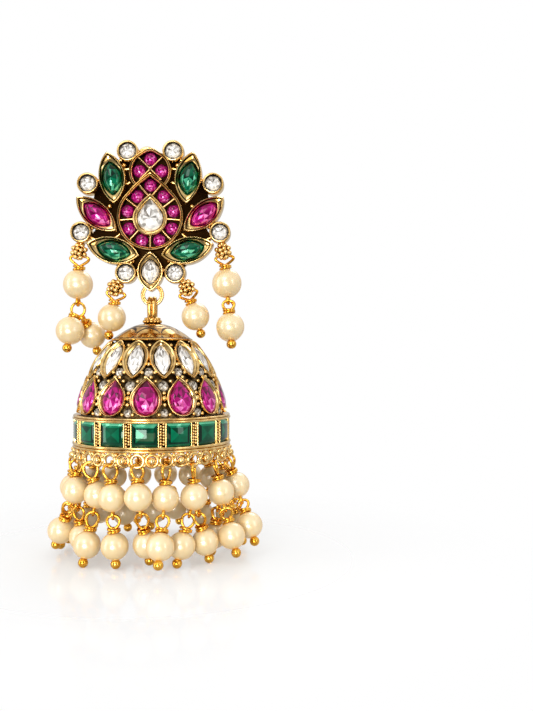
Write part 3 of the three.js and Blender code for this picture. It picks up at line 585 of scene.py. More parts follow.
ruby_glass = stone_look(
    "ruby_glass", (0.07, 0.0, 0.022), (0.3, 0.001, 0.115), (0.56, 0.006, 0.26), (0.92, 0.26, 0.62))
emerald_glass = stone_look(
    "emerald_glass", (0.0, 0.011, 0.005), (0.0, 0.062, 0.028), (0.0, 0.18, 0.083), (0.12, 0.55, 0.34))
clear_glass = stone_look(
    "clear_glass", (0.16, 0.14, 0.12), (0.6, 0.58, 0.55), (0.95, 0.94, 0.92), (1.0, 1.0, 1.0))
smoky_glass = stone_look(
    "smoky_glass", (0.04, 0.03, 0.02), (0.24, 0.2, 0.15), (0.5, 0.46, 0.4), (0.9, 0.87, 0.82))


def cut_stone(ring_at, seed, light=(-0.35, 1.0)):
    """A faceted stone. ring_at(share, height, phase) gives a ring of points. The rings are the
    foot, the girdle, the belt and the table's edge; each is turned by half a step against the
    last, so the facets between two of them are triangles, and the table is a fan. The tone of a
    facet is a sine of its number, raised where it faces away from the light: painted light and
    shade on each facet."""
    rows = ((1.0, 0.0, 0.0), (1.0, 0.4, 0.0), (0.82, 0.76, 0.5), (0.56, 1.0, 0.0))
    rings = np.array([ring_at(*row) for row in rows])
    count, sides = rings.shape[:2]
    points = np.vstack([rings.reshape(-1, 3), rings[0].mean(0), rings[-1].mean(0)])
    index = np.arange(count * sides).reshape(count, sides)
    belts = []
    for k in range(count - 1):
        low, high = index[k], index[k + 1]
        turned_back = rows[k][2] > rows[k + 1][2]
        ahead_low = np.roll(low, -1)
        ahead_high = np.roll(high, -1)
        if turned_back:
            belts += [np.stack([low, ahead_high, high], 1), np.stack([low, ahead_low, ahead_high], 1)]
        else:
            belts += [np.stack([low, ahead_low, high], 1), np.stack([ahead_low, ahead_high, high], 1)]
    foot, last = index[0], index[-1]
    belts.append(np.stack([np.roll(foot, -1), foot, np.full(sides, len(points) - 2)], 1))
    belts.append(np.stack([last, np.roll(last, -1), np.full(sides, len(points) - 1)], 1))
    tris = np.vstack(belts)
    middle = points[tris].mean(1)
    away = middle - points[-1]
    slope = (away @ np.array([light[0], 0, light[1]])) / (np.linalg.norm(away, axis=1) + 1e-9)
    number = np.arange(len(tris))
    ripple = 0.26 * np.sin(number * 2.4 + seed * 1.7) + 0.12 * np.sin(number * 5.1 + seed)
    made = plain(points, np.zeros((0, 4), int), tris)
    # Painted light and shade: the tone is lighter or darker by how the facet faces the light.
    made["tone"] = 0.46 + ripple - 0.2 * slope
    return made


def lotus_stone(name, node, outline_at, foot, top, look, slot, seed):
    """One stone of the lotus, in front of its floor."""
    def ring_at(share, height, phase):
        """The outline shrunk by share, moved forward by foot + (top - foot) * height."""
        return lifted(outline_at(share, phase), foot + (top - foot) * height)
    return piece(name, [(look, [cut_stone(ring_at, seed)])], "stud", [node], slot, flat=(0,))


PETAL_STONES = {"upper_emerald": (emerald_glass, "green_stone"), "side_ruby": (ruby_glass, "ruby_stone"),
                "lower_emerald": (emerald_glass, "green_stone"), "base_crystal": (clear_glass, "clear_stone")}
seed = 0
for petal, row in PETALS.items():
    look, slot = PETAL_STONES[petal]
    for side, flip in (("", 1),) if petal == "base_crystal" else (("_right", 1), ("_left", -1)):
        seed += 1
        lotus_stone(
            petal + side + "_cut", petal + side,
            lambda share, phase: leaf(row, 0.625 * share, 0.705 * share, 5, phase) * (flip, 1),
            STONE_FLOOR, PETAL_STONE_TOP, look, slot, seed)
PEAR = {"centre": -3.3, "radius": 2.33, "tip": 0.4}


def pear_at(share, phase):
    """The pear's outline, shrunk by share about the middle of its round end."""
    middle = (0, PEAR["centre"])
    return (drop(PEAR, 0, 16, phase) - middle) * share + middle


lotus_stone("centre_pear_cut", "centre_pear", pear_at, 1.9, 3.1, clear_glass, "clear_stone", 3)
for height, (x, z) in ROUNDS.items():
    for side, flip in (("right", 1), ("left", -1)):
        seed += 1
        lotus_stone("round_" + height + "_" + side + "_cut", "round_crystal_" + height + "_" + side,
                    lambda share, phase: circle((x * flip, z), 1.5 * share, 12, phase),
                    1.6, 2.7, clear_glass, "clear_stone", seed)
CROWN_STONES = ((0, 7.75), (-2.05, 5.55), (2.05, 5.55))
small_rubies = []
for group, spots in (("ring_ruby_", channel_points(CHANNEL_CELLS, 0)[0]), ("crown_ruby_", CROWN_STONES)):
    small_rubies += [(group + str(k + 1), spot) for k, spot in enumerate(spots)]
for name, spot in small_rubies:
    seed += 1
    shift = (0, -0.16) if name == "ring_ruby_1" else (0, 0)
    lotus_stone(name + "_cut", name, lambda share, phase: circle(np.add(spot, shift), 1.2 * share, 10, phase),
                STONE_FLOOR, 2.65, ruby_glass, "ruby_stone", seed)


# The pearl drops of the stud. A pearl is a glass ball in pearl lacquer. A wire through it ends in
# a ball under it, or in an eye that takes the next pearl, and is wound twice above each pearl.
PEARL_WIRE = 0.26
BALL = 0.88
NECK = 0.3
SMALL_EYE = {"long": 1.3, "wide": 1.15, "sunk": 0.12}
SHARED_RING = {"radius": 1.3, "down": 2.1}


def lacquer(name):
    """Pearl lacquer: cream that drifts a little warmer in soft patches, under a clear coat."""
    finish = Finish(name, Coat_Weight=1.0, Coat_Roughness=0.28, Coat_IOR=2.3, Coat_Tint=(1.0, 0.92, 0.76, 1),
                    Sheen_Weight=1.0, Sheen_Roughness=0.45, Sheen_Tint=(0.6, 0.32, 0.07, 1),
                    Subsurface_Weight=0.2, Subsurface_Scale=0.0012)
    finish.shader.inputs["Subsurface Radius"].default_value = (1.0, 0.7, 0.4)
    patch = finish.noise(3.0)
    finish.set(Base_Color=finish.mix(patch.between(0.35, 0.7), (0.76, 0.665, 0.46, 1), (0.74, 0.61, 0.38, 1)),
               Roughness=0.3 + finish.noise(0.5).between(0.4, 0.7) * 0.06)
    finish.bump(finish.noise(0.6), 0.008)
    return finish.material


pearl_lacquer = lacquer("pearl_lacquer")
yellow_gold = plated("yellow_gold", (0.9, 0.5, 0.08), (0.74, 0.33, 0.025), (0.2, 0.07, 0.01), 0.12, 0.12)


def eye(top, foot, across, wide, pinch=0.12):
    """A loop of wire. At angle a it is the middle, plus cos a of half the way from foot to top,
    plus sin a of half the width to the side; the width grows by pinch times cos a, so the loop
    narrows towards its foot."""
    top, foot = np.array(top, float), np.array(foot, float)
    middle, half = (top + foot) / 2, (top - foot) / 2
    side = unit(np.array(across, float) - half * (np.dot(across, half) / np.dot(half, half)))
    angle = 2 * np.pi * np.arange(36) / 36
    width = wide / 2 * np.sin(angle) * (1 + pinch * np.cos(angle))
    path = middle + np.outer(np.cos(angle), half) + np.outer(width, side)
    return tube(path, np.cross(half, side), PEARL_WIRE, 10, True)


def wrap(centre, along, radius=0.97, wire=0.22):
    """Two tight turns of wire round along, each a little askew."""
    along = unit(along)
    askew = unit(np.cross(along, (0.2, 1.0, 0.1))) * 0.13
    return [hoop(np.array(centre) + along * rise, along + askew * way, radius, wire, 28, 8)
            for rise, way in ((-0.21, 1), (0.21, -0.6))]


def topped(pearl, radius, hook, across, wide=2.1, pinch=0.2):
    """The wire above a pearl: an eye that reaches up to hook, and the winding under it."""
    pearl, hook = np.array(pearl, float), np.array(hook, float)
    up = unit(hook - pearl)
    neck = pearl + up * (radius + NECK)
    return [eye(hook, neck + up * NECK, across, wide, pinch), *wrap(neck, up),
            tube([pearl, neck + up * 0.42], np.cross(up, (0.3, 1, 0)), 0.62, 12)]


def linked(upper, upper_radius, lower, lower_radius, across):
    """The wire between two pearls: a small eye under the upper one, and the eye and winding of
    the lower one through it."""
    upper, lower = np.array(upper, float), np.array(lower, float)
    down = unit(lower - upper)
    start = upper + down * (upper_radius - SMALL_EYE["sunk"])
    turned_way = np.cross(down, across)
    return [eye(start, start + down * SMALL_EYE["long"], turned_way, SMALL_EYE["wide"]),
            *topped(lower, lower_radius, start + down * 0.78, across)]


def shared(upper, upper_radius, lowers):
    """The wire between a pearl and two that hang from one ring: a small eye, the ring, and over
    each lower pearl its winding with a stub that reaches the ring's foot."""
    upper = np.array(upper, float)
    start = upper - (0, 0, upper_radius - SMALL_EYE["sunk"])
    ring = start - (0, 0, SHARED_RING["down"])
    parts = [eye(start, start - (0, 0, SMALL_EYE["long"]), (0.2, 1.0, 0), SMALL_EYE["wide"]),
             hoop(ring, (0.15, 1.0, 0), SHARED_RING["radius"], PEARL_WIRE, 36, 10)]
    for centre, radius in lowers:
        toward = ring + (np.sign(centre[0] - upper[0]) * 0.6, 0, -1.1)
        parts += topped(centre, radius, toward, (0.3, 1.0, 0), 1.0, 0.0)
    return parts


def ended(pearl, radius, way):
    """The ball under a pearl: its middle lies along way, at the pearl's radius and three quarters
    of its own from the pearl's middle."""
    return [balls([np.array(pearl, float) + unit(way) * (radius + BALL * 0.75)], BALL, 14, 20)]


def pearl_string(name, node, body, hook, across, first, seconds, wide=2.1, pinch=0.2, one_ring=False):
    """One string: the first pearl under hook, and each of the seconds linked to it. A pearl is
    its centre and radius."""
    pearls, wires = [first, *seconds], topped(first[0], first[1], hook, across, wide, pinch)
    if one_ring:
        wires += shared(first[0], first[1], seconds)
    for k, (centre, radius) in enumerate(seconds):
        way = np.subtract(centre, first[0])
        if not one_ring:
            wires += linked(first[0], first[1], centre, radius, np.cross(unit(way), (0.35 * k, 1.0, 0.2)))
        wires += ended(centre, radius, way)
    if not seconds:
        wires += ended(first[0], first[1] + 0.06, np.subtract(first[0], hook))
    spheres = balls([centre for centre, _ in pearls], [radius for _, radius in pearls], 24, 36)
    return piece(name, [(pearl_lacquer, [spheres]), (yellow_gold, wires)], body, [node], "pearl_string", 60)


# name, rosette, first pearl and its radius, and the pearls that hang from it
STUD_STRINGS = (
    ("outer_left", (-13.5, -9.4), ((-13.85, 0.2, -15.2), 2.75),
     [((-15.0, -1.3, -23.9), 2.6), ((-11.7, 2.9, -24.6), 2.5)]),
    ("inner_left", (-6.65, -16.05), ((-7.55, 0.3, -21.45), 2.6), []),
    ("inner_right", (6.65, -16.05), ((8.1, 0.3, -21.2), 2.6), []),
    ("outer_right", (13.5, -9.4), ((13.98, 0.2, -15.0), 2.75),
     [((14.7, -1.5, -23.2), 2.6), ((14.4, 3.6, -23.4), 2.5)]),
)
for side, (x, z), first, seconds in STUD_STRINGS:
    pearl_string("pearl_drop_" + side, "stud_drop_" + side, "stud", (x, 0.1, z - 0.45),
                 (1.0, 0.15, 0), first, seconds, 2.9, 0.7, side == "outer_left")


# The cap of the dome is spun brass, polished gold, with eight low petals pressed into its slope.
# A collar of grains stands on it, and a double bail passes through the drop ring.
CAP_FOOT = -25.8


def turned(profile, sides, loop=True, recess=0.3, lobes=0, depth=0.0):
    """A profile of radius and height turned round the dome's axis. With lobes, a point moves out
    by depth times the cosine of its turn."""
    profile = np.asarray(profile, float)
    angle = 2 * np.pi * np.arange(sides) / sides
    wave = 1 + np.outer(np.broadcast_to(depth, (len(profile),)), np.cos(lobes * angle)) if lobes else 1.0
    reach = profile[:, :1] * wave
    rings = np.stack([reach * np.sin(angle), SWING_Y - reach * np.cos(angle),
                      np.broadcast_to(profile[:, 1:2], (len(profile), sides))], -1)
    return skin(rings, recess, loop=loop)


def around(turn, reach, z):
    """A place round the dome: turned in degrees from the front, at a distance from the axis. x is
    the reach times the sine of the turn, and y is the axis less the reach times its cosine."""
    angle = np.radians(turn)
    return np.stack(np.broadcast_arrays(reach * np.sin(angle), SWING_Y - reach * np.cos(angle), z), -1)


def outwards(turn):
    """The level direction away from the dome's axis: one place round the dome less the axis."""
    return around(turn, 1, 0) - around(turn, 0, 0)


cap_rows = np.array([
    # radius, height over the foot, recess, share of the petals
    (0.01, 2.4, 0.6, 0), (5.7, 0.0, 0.6, 0), (7.2, 0.0, 0.4, 0), (7.5, 0.08, 0.0, 0), (7.56, 0.22, 0.0, 0),
    (7.45, 0.38, 0.0, 0), (7.2, 0.46, 0.9, 0), (6.95, 0.64, 0.3, 0.2), (6.5, 0.96, 0.05, 0.8),
    (6.0, 1.32, 0.0, 1), (5.4, 1.7, 0.0, 1), (4.8, 2.07, 0.0, 1), (4.2, 2.4, 0.0, 0.7), (3.6, 2.68, 0.3, 0.3),
    (3.0, 2.92, 0.05, 0), (2.4, 3.1, 0.0, 0), (1.8, 3.22, 0.3, 0), (1.5, 3.3, 0.9, 0), (1.35, 3.5, 0.4, 0),
    (1.45, 3.8, 0.1, 0), (1.45, 4.05, 0.0, 0), (1.3, 4.3, 0.0, 0), (1.0, 4.5, 0.1, 0), (0.01, 4.6, 0.2, 0),
])
cap_angle = 2 * np.pi * np.arange(144) / 144
dense = np.linspace(0, len(cap_rows) - 1, 139)
cap_rows = np.stack([np.interp(dense, np.arange(len(cap_rows)), column) for column in cap_rows.T], 1)
# Each petal ends inwards in half an ellipse. A dark line of painted shade runs along it, and
# the cap is painted a little dark between the petals, as shade and patina.
CAP_PETALS = 8
PETAL_OUT = 6.95
PETAL_LONG = 2.5
PETAL_IN = 3.2
SEAM = 0.3
from_petal = np.abs((cap_angle * CAP_PETALS / (2 * np.pi) + 0.5) % 1 - 0.5) * 2
petal_end = PETAL_OUT - PETAL_LONG * np.sqrt(1 - np.minimum(from_petal, 1) ** 2)
cap_reach, on_slope = cap_rows[:, :1], cap_rows[:, 1:2] > 0.5
petal_edge_shade = np.exp(-((cap_reach - petal_end) / SEAM) ** 2) * on_slope
between_petals = np.clip((petal_end - cap_reach) / SEAM, 0, 1) * (cap_reach > PETAL_IN) * on_slope
cap_dark = np.clip(cap_rows[:, 2:3] + 0.8 * petal_edge_shade + 0.45 * between_petals, 0, 1)
cap_parts = [turned(cap_rows[:, :2] + (0, CAP_FOOT), 144, False, cap_dark, CAP_PETALS,
                    0.02 * cap_rows[:, 3])]
collar_turns = np.arange(14) * 360 / 14
collar_z = CAP_FOOT + 4.2
cap_parts.append(balls(around(collar_turns, 1.5, collar_z - 0.55), 0.32, 7, 10))
cap_parts.append(balls(around(collar_turns + 13, 1.28, collar_z - 0.05), 0.26, 7, 10))
arch = np.linspace(0, np.pi, 25)
legs = np.linspace(0, 1, 6)[:-1]
arch_radius = 1.08
for way in (-0.4, 0.4):
    up_leg = np.stack([np.full(5, way), SWING_Y - 0.6 - (arch_radius - 0.6) * legs ** 0.7,
                       collar_z + (SWING_Z - collar_z) * legs], 1)
    top = np.stack([np.full(25, way), SWING_Y - arch_radius * np.cos(arch),
                    SWING_Z + arch_radius * np.sin(arch)], 1)
    down_leg = up_leg[::-1] * (1, -1, 1) + (0, 2 * SWING_Y, 0)
    cap_parts.append(tube(np.vstack([up_leg, top, down_leg]), (1, 0, 0), 0.46, 12, recess=0.05))
polished_gold = plated("polished_gold", (0.68, 0.42, 0.13), (0.5, 0.27, 0.06), (0.03, 0.012, 0.004), 0.1, 0.5)
piece("cap", [(polished_gold, cap_parts)], "dome", ["dome_cap"], "antique_gold", 55)


# The upper row of the dome: thirteen leaf-shaped settings with a wide sloping tray and a clear
# stone each, soldered to a dark shell, with grains and small stones in the gaps between them.
ROWS_MEET = CAP_FOOT - 7.2
BAND_TOP = ROWS_MEET - 6.3
WALL_RADII = (6.75, 13.05)
WALL_SHARES = ((0, 0), (0.26, 0.14), (0.51, 0.31), (0.715, 0.51), (0.85, 0.67), (0.95, 0.82), (1, 1))


def wall_curve():
    """The outer face of the shell as radius and height at even steps down it: a cubic through
    each point, a share of the way out and of the way down, whose slope is half the way from the
    point before it to the one after."""
    start, end = (WALL_RADII[0], CAP_FOOT), (WALL_RADII[1], BAND_TOP)
    spots = np.array(start) + np.array(WALL_SHARES) * np.subtract(end, start)
    share = np.linspace(0, len(spots) - 1, 601)
    k = np.minimum(share.astype(int), len(spots) - 2)
    t = (share - k)[:, None]
    a, b, c, d = (spots[np.clip(k + step, 0, len(spots) - 1)] for step in (-1, 0, 1, 2))
    return b + 0.5 * t * (c - a + t * (2 * a - 5 * b + 4 * c - d + t * (3 * (b - c) + d - a)))


wall_line = wall_curve()
wall_run = np.concatenate([[0], np.cumsum(np.hypot(*np.diff(wall_line, axis=0).T))])


def on_wall(turn, across, along, out):
    """A point beside the shell: turned in degrees from the front, across it, along it from its
    top, and out of it, square to its slope."""
    foot = [np.interp(along, wall_run, wall_line[:, k]) for k in (0, 1)]
    ahead = [np.interp(along + 0.02, wall_run, wall_line[:, k])
             - np.interp(along - 0.02, wall_run, wall_line[:, k]) for k in (0, 1)]
    length = np.hypot(*ahead)
    reach = foot[0] - ahead[1] / length * out
    height = foot[1] + ahead[0] / length * out
    angle = np.radians(turn) + across / (foot[0] + 0.85)
    return np.stack([reach * np.sin(angle), SWING_Y - reach * np.cos(angle), height], -1)


def wall_at(z):
    """How far down the shell's face the height z lies, read off wall_line."""
    return np.interp(-z, -wall_line[:, 1], wall_run)


def shell(top, foot, thick=0.95):
    """The dark shell behind a row of settings: wall_line moved in by 0.1, and again by thick,
    turned round the axis."""
    z = np.linspace(top, foot, 14)
    r = np.interp(-z, -wall_line[:, 1], wall_line[:, 0]) - 0.1
    outer = np.stack([r, z], 1)
    inner = np.stack([r - thick, z], 1)[::-1]
    return turned(np.vstack([outer, inner]), 120, True, [0.72] * 14 + [0.45] * 14)


def cell_rings(turn, start, outline_at, steps):
    """A setting on the shell: each step gives its outline, how far it stands out and its recess."""
    rings = []
    for long, wide, out, _ in steps:
        line = outline_at(long, wide)
        rings.append(on_wall(turn, line[:, 0], start + line[:, 1], out))
    return skin(rings, [step[3] for step in steps])


def cell_stone(turn, start, outline_at, foot, top, seed, size):
    """A cut stone on the shell. size holds its shares of the setting's length and width."""
    def ring_at(share, height, phase):
        """The outline shrunk by share, out of the shell by foot + (top - foot) * height."""
        line = outline_at(size[0] * share, size[1] * share, phase)
        return on_wall(turn, line[:, 0], start + line[:, 1], foot + (top - foot) * height)
    return cut_stone(ring_at, seed, (-0.3, 1.0))


CRYSTAL_CELL = {"tip": (0, 0.55), "tail": (0, 8.4), "left": 2.52, "right": 2.52}
CRYSTAL_STEPS = (
    # long, wide, out, recess
    (1.0, 1.0, -0.6, 1.0), (1.0, 1.0, 0.2, 0.9), (1.0, 1.0, 0.6, 0.1), (0.985, 0.97, 0.84, 0.0),
    (0.96, 0.93, 0.95, 0.0), (0.93, 0.88, 0.93, 0.0), (0.905, 0.835, 0.78, 0.0), (0.89, 0.81, 0.6, 0.7),
    (0.86, 0.76, 0.45, 0.35), (0.82, 0.69, 0.28, 0.4), (0.785, 0.64, 0.14, 0.8), (0.775, 0.625, 0.1, 1.0),
)
ROW_CELLS = 13
crystal_turns = 18.2 + 360 / ROW_CELLS * np.arange(ROW_CELLS)
crystal_gold, crystal_stones, crystal_gaps = [shell(CAP_FOOT, ROWS_MEET)], [], []
for k, turn in enumerate(crystal_turns):
    crystal_gold.append(cell_rings(
        turn, 0.0, lambda long, wide: leaf(CRYSTAL_CELL, long, wide, 30), CRYSTAL_STEPS))
    crystal_stones.append(cell_stone(
        turn, 0.0, lambda long, wide, phase: leaf(CRYSTAL_CELL, long, wide, 5, phase),
        0.12, 0.75, k, (0.77, 0.6)))
# A small smoky stone between four grains fills each gap over the row below.
crystal_spaces = crystal_turns + 180 / ROW_CELLS
GAP_GRAINS = ((-1.15, 7.2), (1.15, 7.2), (-0.5, 8.1), (0.5, 8.1))


def gap_stone(turn, along, radius, out, seed):
    """A small cut stone between two settings: circles of the radius, shrunk ring by ring, laid on
    the shell."""
    def ring_at(share, height, phase):
        """A circle of radius * share, out of the shell by out - 0.5 + 0.55 * height."""
        line = circle((0, 0), radius * share, 8, phase)
        return on_wall(turn, line[:, 0], along + line[:, 1], out - 0.5 + 0.55 * height)
    return cut_stone(ring_at, seed)


def beside(turns, grains, out):
    """A place for a grain in each space between two settings, for each pair of across and along
    in grains."""
    return np.vstack([on_wall(turns, side, np.full(len(turns), along), out) for side, along in grains])


for k, turn in enumerate(crystal_spaces):
    crystal_gaps.append(gap_stone(turn, 7.0, 0.85, 0.62, k + 20))
crystal_gold.append(balls(beside(crystal_spaces, [(0.0, 1.5)], 0.35), 0.34, 8, 12))
crystal_gold.append(balls(beside(crystal_spaces, [(0.0, 5.6)], 0.42), 0.4, 8, 12))
crystal_gold.append(balls(beside(crystal_spaces, GAP_GRAINS, 0.5), 0.34, 8, 12))
piece("clear_stone_row",
      [(antique_gold, crystal_gold), (clear_glass, crystal_stones), (smoky_glass, crystal_gaps)], "dome",
      ["crystal_row"], "clear_row", 50, flat=(1, 2))


# The lower row of the dome: thirteen pear-shaped magenta stones, each in a smooth bezel.
RUBY_CELL = {"centre": 0.0, "radius": 2.86, "tip": 4.1}
RUBY_MIDDLE = 3.55
RUBY_GRAINS = ((-1.35, 0.15), (1.35, 0.15), (-1.25, 1.6), (1.25, 1.6), (-1.0, 6.0), (1.0, 6.0))
RUBY_STEPS = (
    # long, wide, out, recess
    (1.0, 1.0, -0.6, 1.0), (1.0, 1.0, 0.2, 0.9), (1.0, 1.0, 0.62, 0.1), (0.985, 0.98, 0.84, 0.0),
    (0.967, 0.955, 0.94, 0.0), (0.945, 0.925, 0.93, 0.0), (0.928, 0.9, 0.8, 0.5), (0.915, 0.882, 0.74, 0.9),
    (0.905, 0.87, 0.8, 0.0), (0.87, 0.79, 0.66, 0.0), (0.85, 0.74, 0.4, 0.8), (0.845, 0.73, 0.2, 1.0),
)
ruby_start = wall_at(ROWS_MEET)
ruby_turns = 3 + 360 / ROW_CELLS * np.arange(ROW_CELLS)


def pear_outline(long, wide, count, phase=0.0):
    """The drop of the lower row, shrunk about its round middle."""
    line = drop(RUBY_CELL, 0, count, phase)
    return np.stack([line[:, 0] * wide, RUBY_MIDDLE - line[:, 1] * long], 1)


ruby_gold, ruby_stones = [shell(ROWS_MEET, BAND_TOP)], []
for k, turn in enumerate(ruby_turns):
    ruby_gold.append(cell_rings(
        turn, ruby_start, lambda long, wide: pear_outline(long, wide, 60), RUBY_STEPS))
    ruby_stones.append(cell_stone(
        turn, ruby_start, lambda long, wide, phase: pear_outline(long, wide, 10, phase),
        0.2, 1.0, k + 40, (0.85, 0.735)))
# Grains of gold and two smoky stones fill each space between the bezels.
ruby_spaces = ruby_turns + 180 / ROW_CELLS
ruby_grains = [(side, ruby_start + along) for side, along in RUBY_GRAINS]
ruby_gold.append(balls(beside(ruby_spaces, ruby_grains, 0.35), 0.33, 7, 10))
ruby_gaps = [gap_stone(turn, ruby_start + along, radius, 0.55, k)
             for along, radius in ((0.95, 0.98), (5.7, 0.78)) for k, turn in enumerate(ruby_spaces)]
for along, radius in ((3.3, 0.5), (2.35, 0.34), (4.35, 0.36)):
    ruby_gold.append(balls(beside(ruby_spaces, [(0.0, ruby_start + along)], 0.5), radius, 9, 14))
piece("ruby_stone_row",
      [(antique_gold, ruby_gold), (ruby_glass, ruby_stones), (smoky_glass, ruby_gaps)], "dome",
      ["ruby_row"], "ruby_row", 50, flat=(1, 2))


# The emerald band: two rims of doubled wire, fifteen square step-cut stones, and between them
# pairs of upright bars with two columns of grains.
BAND_FOOT = BAND_TOP - 6.0
BAND_WALL = 13.55
BAND_CELLS = 15
BAND_STEP = 360 / BAND_CELLS
BAND_FIRST = 2.5
BAND_MIDDLE = (BAND_TOP + BAND_FOOT) / 2 + 0.14
BAND_STONE = {"wide": 2.26, "high": 1.98}
UPRIGHT = {"wide": 0.24, "high": 2.06, "foot": 13.4, "top": 14.42}
UPRIGHT_APART = 0.64
BAND_GRAINS_OUT = 14.25


def half_round(r, z, wire, dark=0.0):
    """The outer half of a wire's section, from its top to its foot, as radius, height, recess: at
    angle a it is r plus wire times cos a, and z plus wire times sin a."""
    angle = np.linspace(np.pi / 2, -np.pi / 2, 7)
    return np.stack([r + wire * np.cos(angle), z + wire * np.sin(angle), np.full(7, dark)], 1)


band_rows = np.vstack([
    [(11.9, 0, 0.4), (14.0, 0, 0.2)], half_round(14.3, -0.2, 0.2), [(14.1, -0.42, 1.0)],
    half_round(14.42, -0.63, 0.2), [(13.9, -0.84, 0.9), (BAND_WALL, -0.86, 1.0), (BAND_WALL, -4.86, 1.0),
    (13.9, -4.88, 0.9)], half_round(14.4, -5.15, 0.26), [(14.14, -5.44, 1.0)],
    half_round(14.3, -5.72, 0.27), [(14.0, -6.0, 0.4), (12.6, -6.0, 0.4), (12.3, -3.1, 0.5)],
])
band_gold = [turned(band_rows[:, :2] + (0, BAND_TOP), 160, True, band_rows[:, 2])]


def on_band(turn, across, up, out):
    """A point of a flat stone of the band: across it from its middle, up, and out from the axis,
    turned about the axis by the turn."""
    angle = np.radians(turn)
    x, y = np.broadcast_arrays(across, -np.asarray(out, float))
    return np.stack(np.broadcast_arrays(x * np.cos(angle) - y * np.sin(angle),
                    SWING_Y + x * np.sin(angle) + y * np.cos(angle), BAND_MIDDLE + up), -1)


def step_cut(turn, wide, high, seed):
    """A square stone: a girdle, two steps and a table whose four quarters meet in its middle. The
    side that faces up is painted lighter, a painted highlight, and the tones of the others differ
    a little."""
    corners = np.array([(-1, 1), (1, 1), (1, -1), (-1, -1)])
    rows = ((0.0, 13.4), (0.0, 13.95), (0.38, 14.2), (0.72, 14.34))
    rings = [on_band(turn, (wide - cut) * corners[:, 0], (high - cut) * corners[:, 1], out)
             for cut, out in rows]
    made = skin(rings)
    number = np.arange(len(made["tone"]))
    side = number % 4
    belt = np.minimum(number // 4, 3)
    # Painted highlight: the step that faces up gets the lightest tone.
    step = np.array([0.92, 0.35, 0.42, 0.2])[side]
    table = np.array([0.34, 0.52, 0.44, 0.62])[side]
    made["tone"] = np.where(number >= 12, table, step - 0.2 * (belt == 2)) + 0.1 * np.sin(seed * 2.1 + number)
    return made


def upright(turn, across, wide, high, foot, top):
    """A bar of the band with a rounded face: at angle a across it, its face stands half the width
    times 1 - sin a under the top."""
    angle = np.linspace(0, np.pi, 7)
    off = across + wide / 2 * np.concatenate([[1], np.cos(angle), [-1]])
    out = np.concatenate([[foot], top - wide / 2 * (1 - np.sin(angle)), [foot]])
    dark = np.tile([1] + [0.05] * 7 + [1], (2, 1))
    return skin([on_band(turn, off, up, out) for up in (high, -high)], dark)


band_stones, band_grains = [], []
for k in range(BAND_CELLS):
    turn = BAND_FIRST + BAND_STEP * k
    band_stones.append(step_cut(turn, seed=k, **BAND_STONE))
    for side in (-1, 1):
        band_gold.append(upright(turn + BAND_STEP / 2, side * UPRIGHT_APART, **UPRIGHT))
    rows = np.linspace(-1.75, 1.75, 8)
    for column in (-0.25, 0.25):
        heights = rows + 0.2 * np.sign(column)
        band_grains.append(on_band(turn + BAND_STEP / 2, column, heights, BAND_GRAINS_OUT))
band_gold.append(balls(np.vstack(band_grains), 0.25, 5, 8))

# The gallery under the band: open rings that take the eyes of the fringe, and between them rings
# with a ball in the middle and grains at the joints.
GALLERY_RADIUS = 14.3
GALLERY_Z = BAND_FOOT - 1.25
GALLERY_RINGS = 18
GALLERY_STEP = 360 / GALLERY_RINGS
GALLERY_FIRST = -2.5
for k in range(GALLERY_RINGS):
    turn = GALLERY_FIRST + GALLERY_STEP * k
    for middle, rise, radius in ((turn, 0.0, 1.08), (turn + GALLERY_STEP / 2, 0.05, 1.0)):
        band_gold.append(hoop(around(middle, GALLERY_RADIUS, GALLERY_Z + rise), outwards(middle),
                              radius, 0.34, 28, 10, 0.3))
ball_turns = GALLERY_FIRST + GALLERY_STEP * (np.arange(GALLERY_RINGS) + 0.5)
band_gold.append(balls(around(ball_turns, GALLERY_RADIUS + 0.3, GALLERY_Z), 0.7, 9, 14))
joint_turns = 2.5 + GALLERY_STEP / 2 * np.arange(2 * GALLERY_RINGS)
band_gold.append(balls(around(joint_turns, GALLERY_RADIUS + 0.2, GALLERY_Z + 0.95), 0.38, 7, 10))
band_gold.append(balls(around(joint_turns, GALLERY_RADIUS + 0.2, GALLERY_Z - 0.72), 0.3, 7, 10))
piece("green_stone_band", [(antique_gold, band_gold), (emerald_glass, band_stones)], "dome",
      ["emerald_band"], "green_row", 50, flat=(1,))


# The pearl fringe: eighteen strings of pearls on wire. Each row gives the upper pearl, the lower
# one and, where two hang from one eye, the second lower pearl.
FRINGE = (
    # turn, distance out from the gallery and down from the band's foot: upper pearl, lower pearls
    ((-54.9, 0.9, 7.05), (-67.2, 2.55, 14.6), (-53.7, -0.3, 15.4)),
    ((-36.4, -0.7, 7.5), (-36.7, 1.65, 15.8)),
    ((-18.3, 1.15, 7.4), (-16.7, 1, 15.6)),
    ((-0.5, 2.2, 7), (3.9, 0, 15.4)),
    ((16.2, 0.4, 7.55), (11.7, 4.2, 14.95)),
    ((36.5, 0.6, 7.65), (26.4, 1.2, 15.7), (44.4, 1, 15.7)),
    ((60.5, 0.95, 7.55), (57.8, 3.8, 14.9), (62.9, -0.9, 15.6)),
    ((80.9, 1.8, 7.1), (72.6, 4.9, 13.85)),
    ((98.7, 0.75, 7.55), (97.2, 2.1, 15.35)),
    ((117.7, 0.8, 7.55), (114.7, 1.9, 15.35)),
    ((137.5, 0.8, 7.55), (130.5, 3.4, 14.8), (143.6, 0.2, 15.3)),
    ((157.5, 0.8, 7.55), (156.0, 3.6, 14.95)),
    ((177.5, 0.8, 7.55), (171.9, 3.2, 14.95), (185.9, 0.3, 15.2)),
    ((197.5, 0.8, 7.55), (197.3, 4, 14.85)),
    ((217.5, 0.8, 7.55), (210.0, 0.7, 15.25), (224.7, 3.3, 14.8)),
    ((237.5, 0.8, 7.55), (240.6, 1.9, 15.35)),
    ((257.5, 0.8, 7.55), (258.1, 2.1, 15.35)),
    ((276.5, 0.3, 7.55), (275.1, 2, 15.35)),
)
PEARL = 2.37


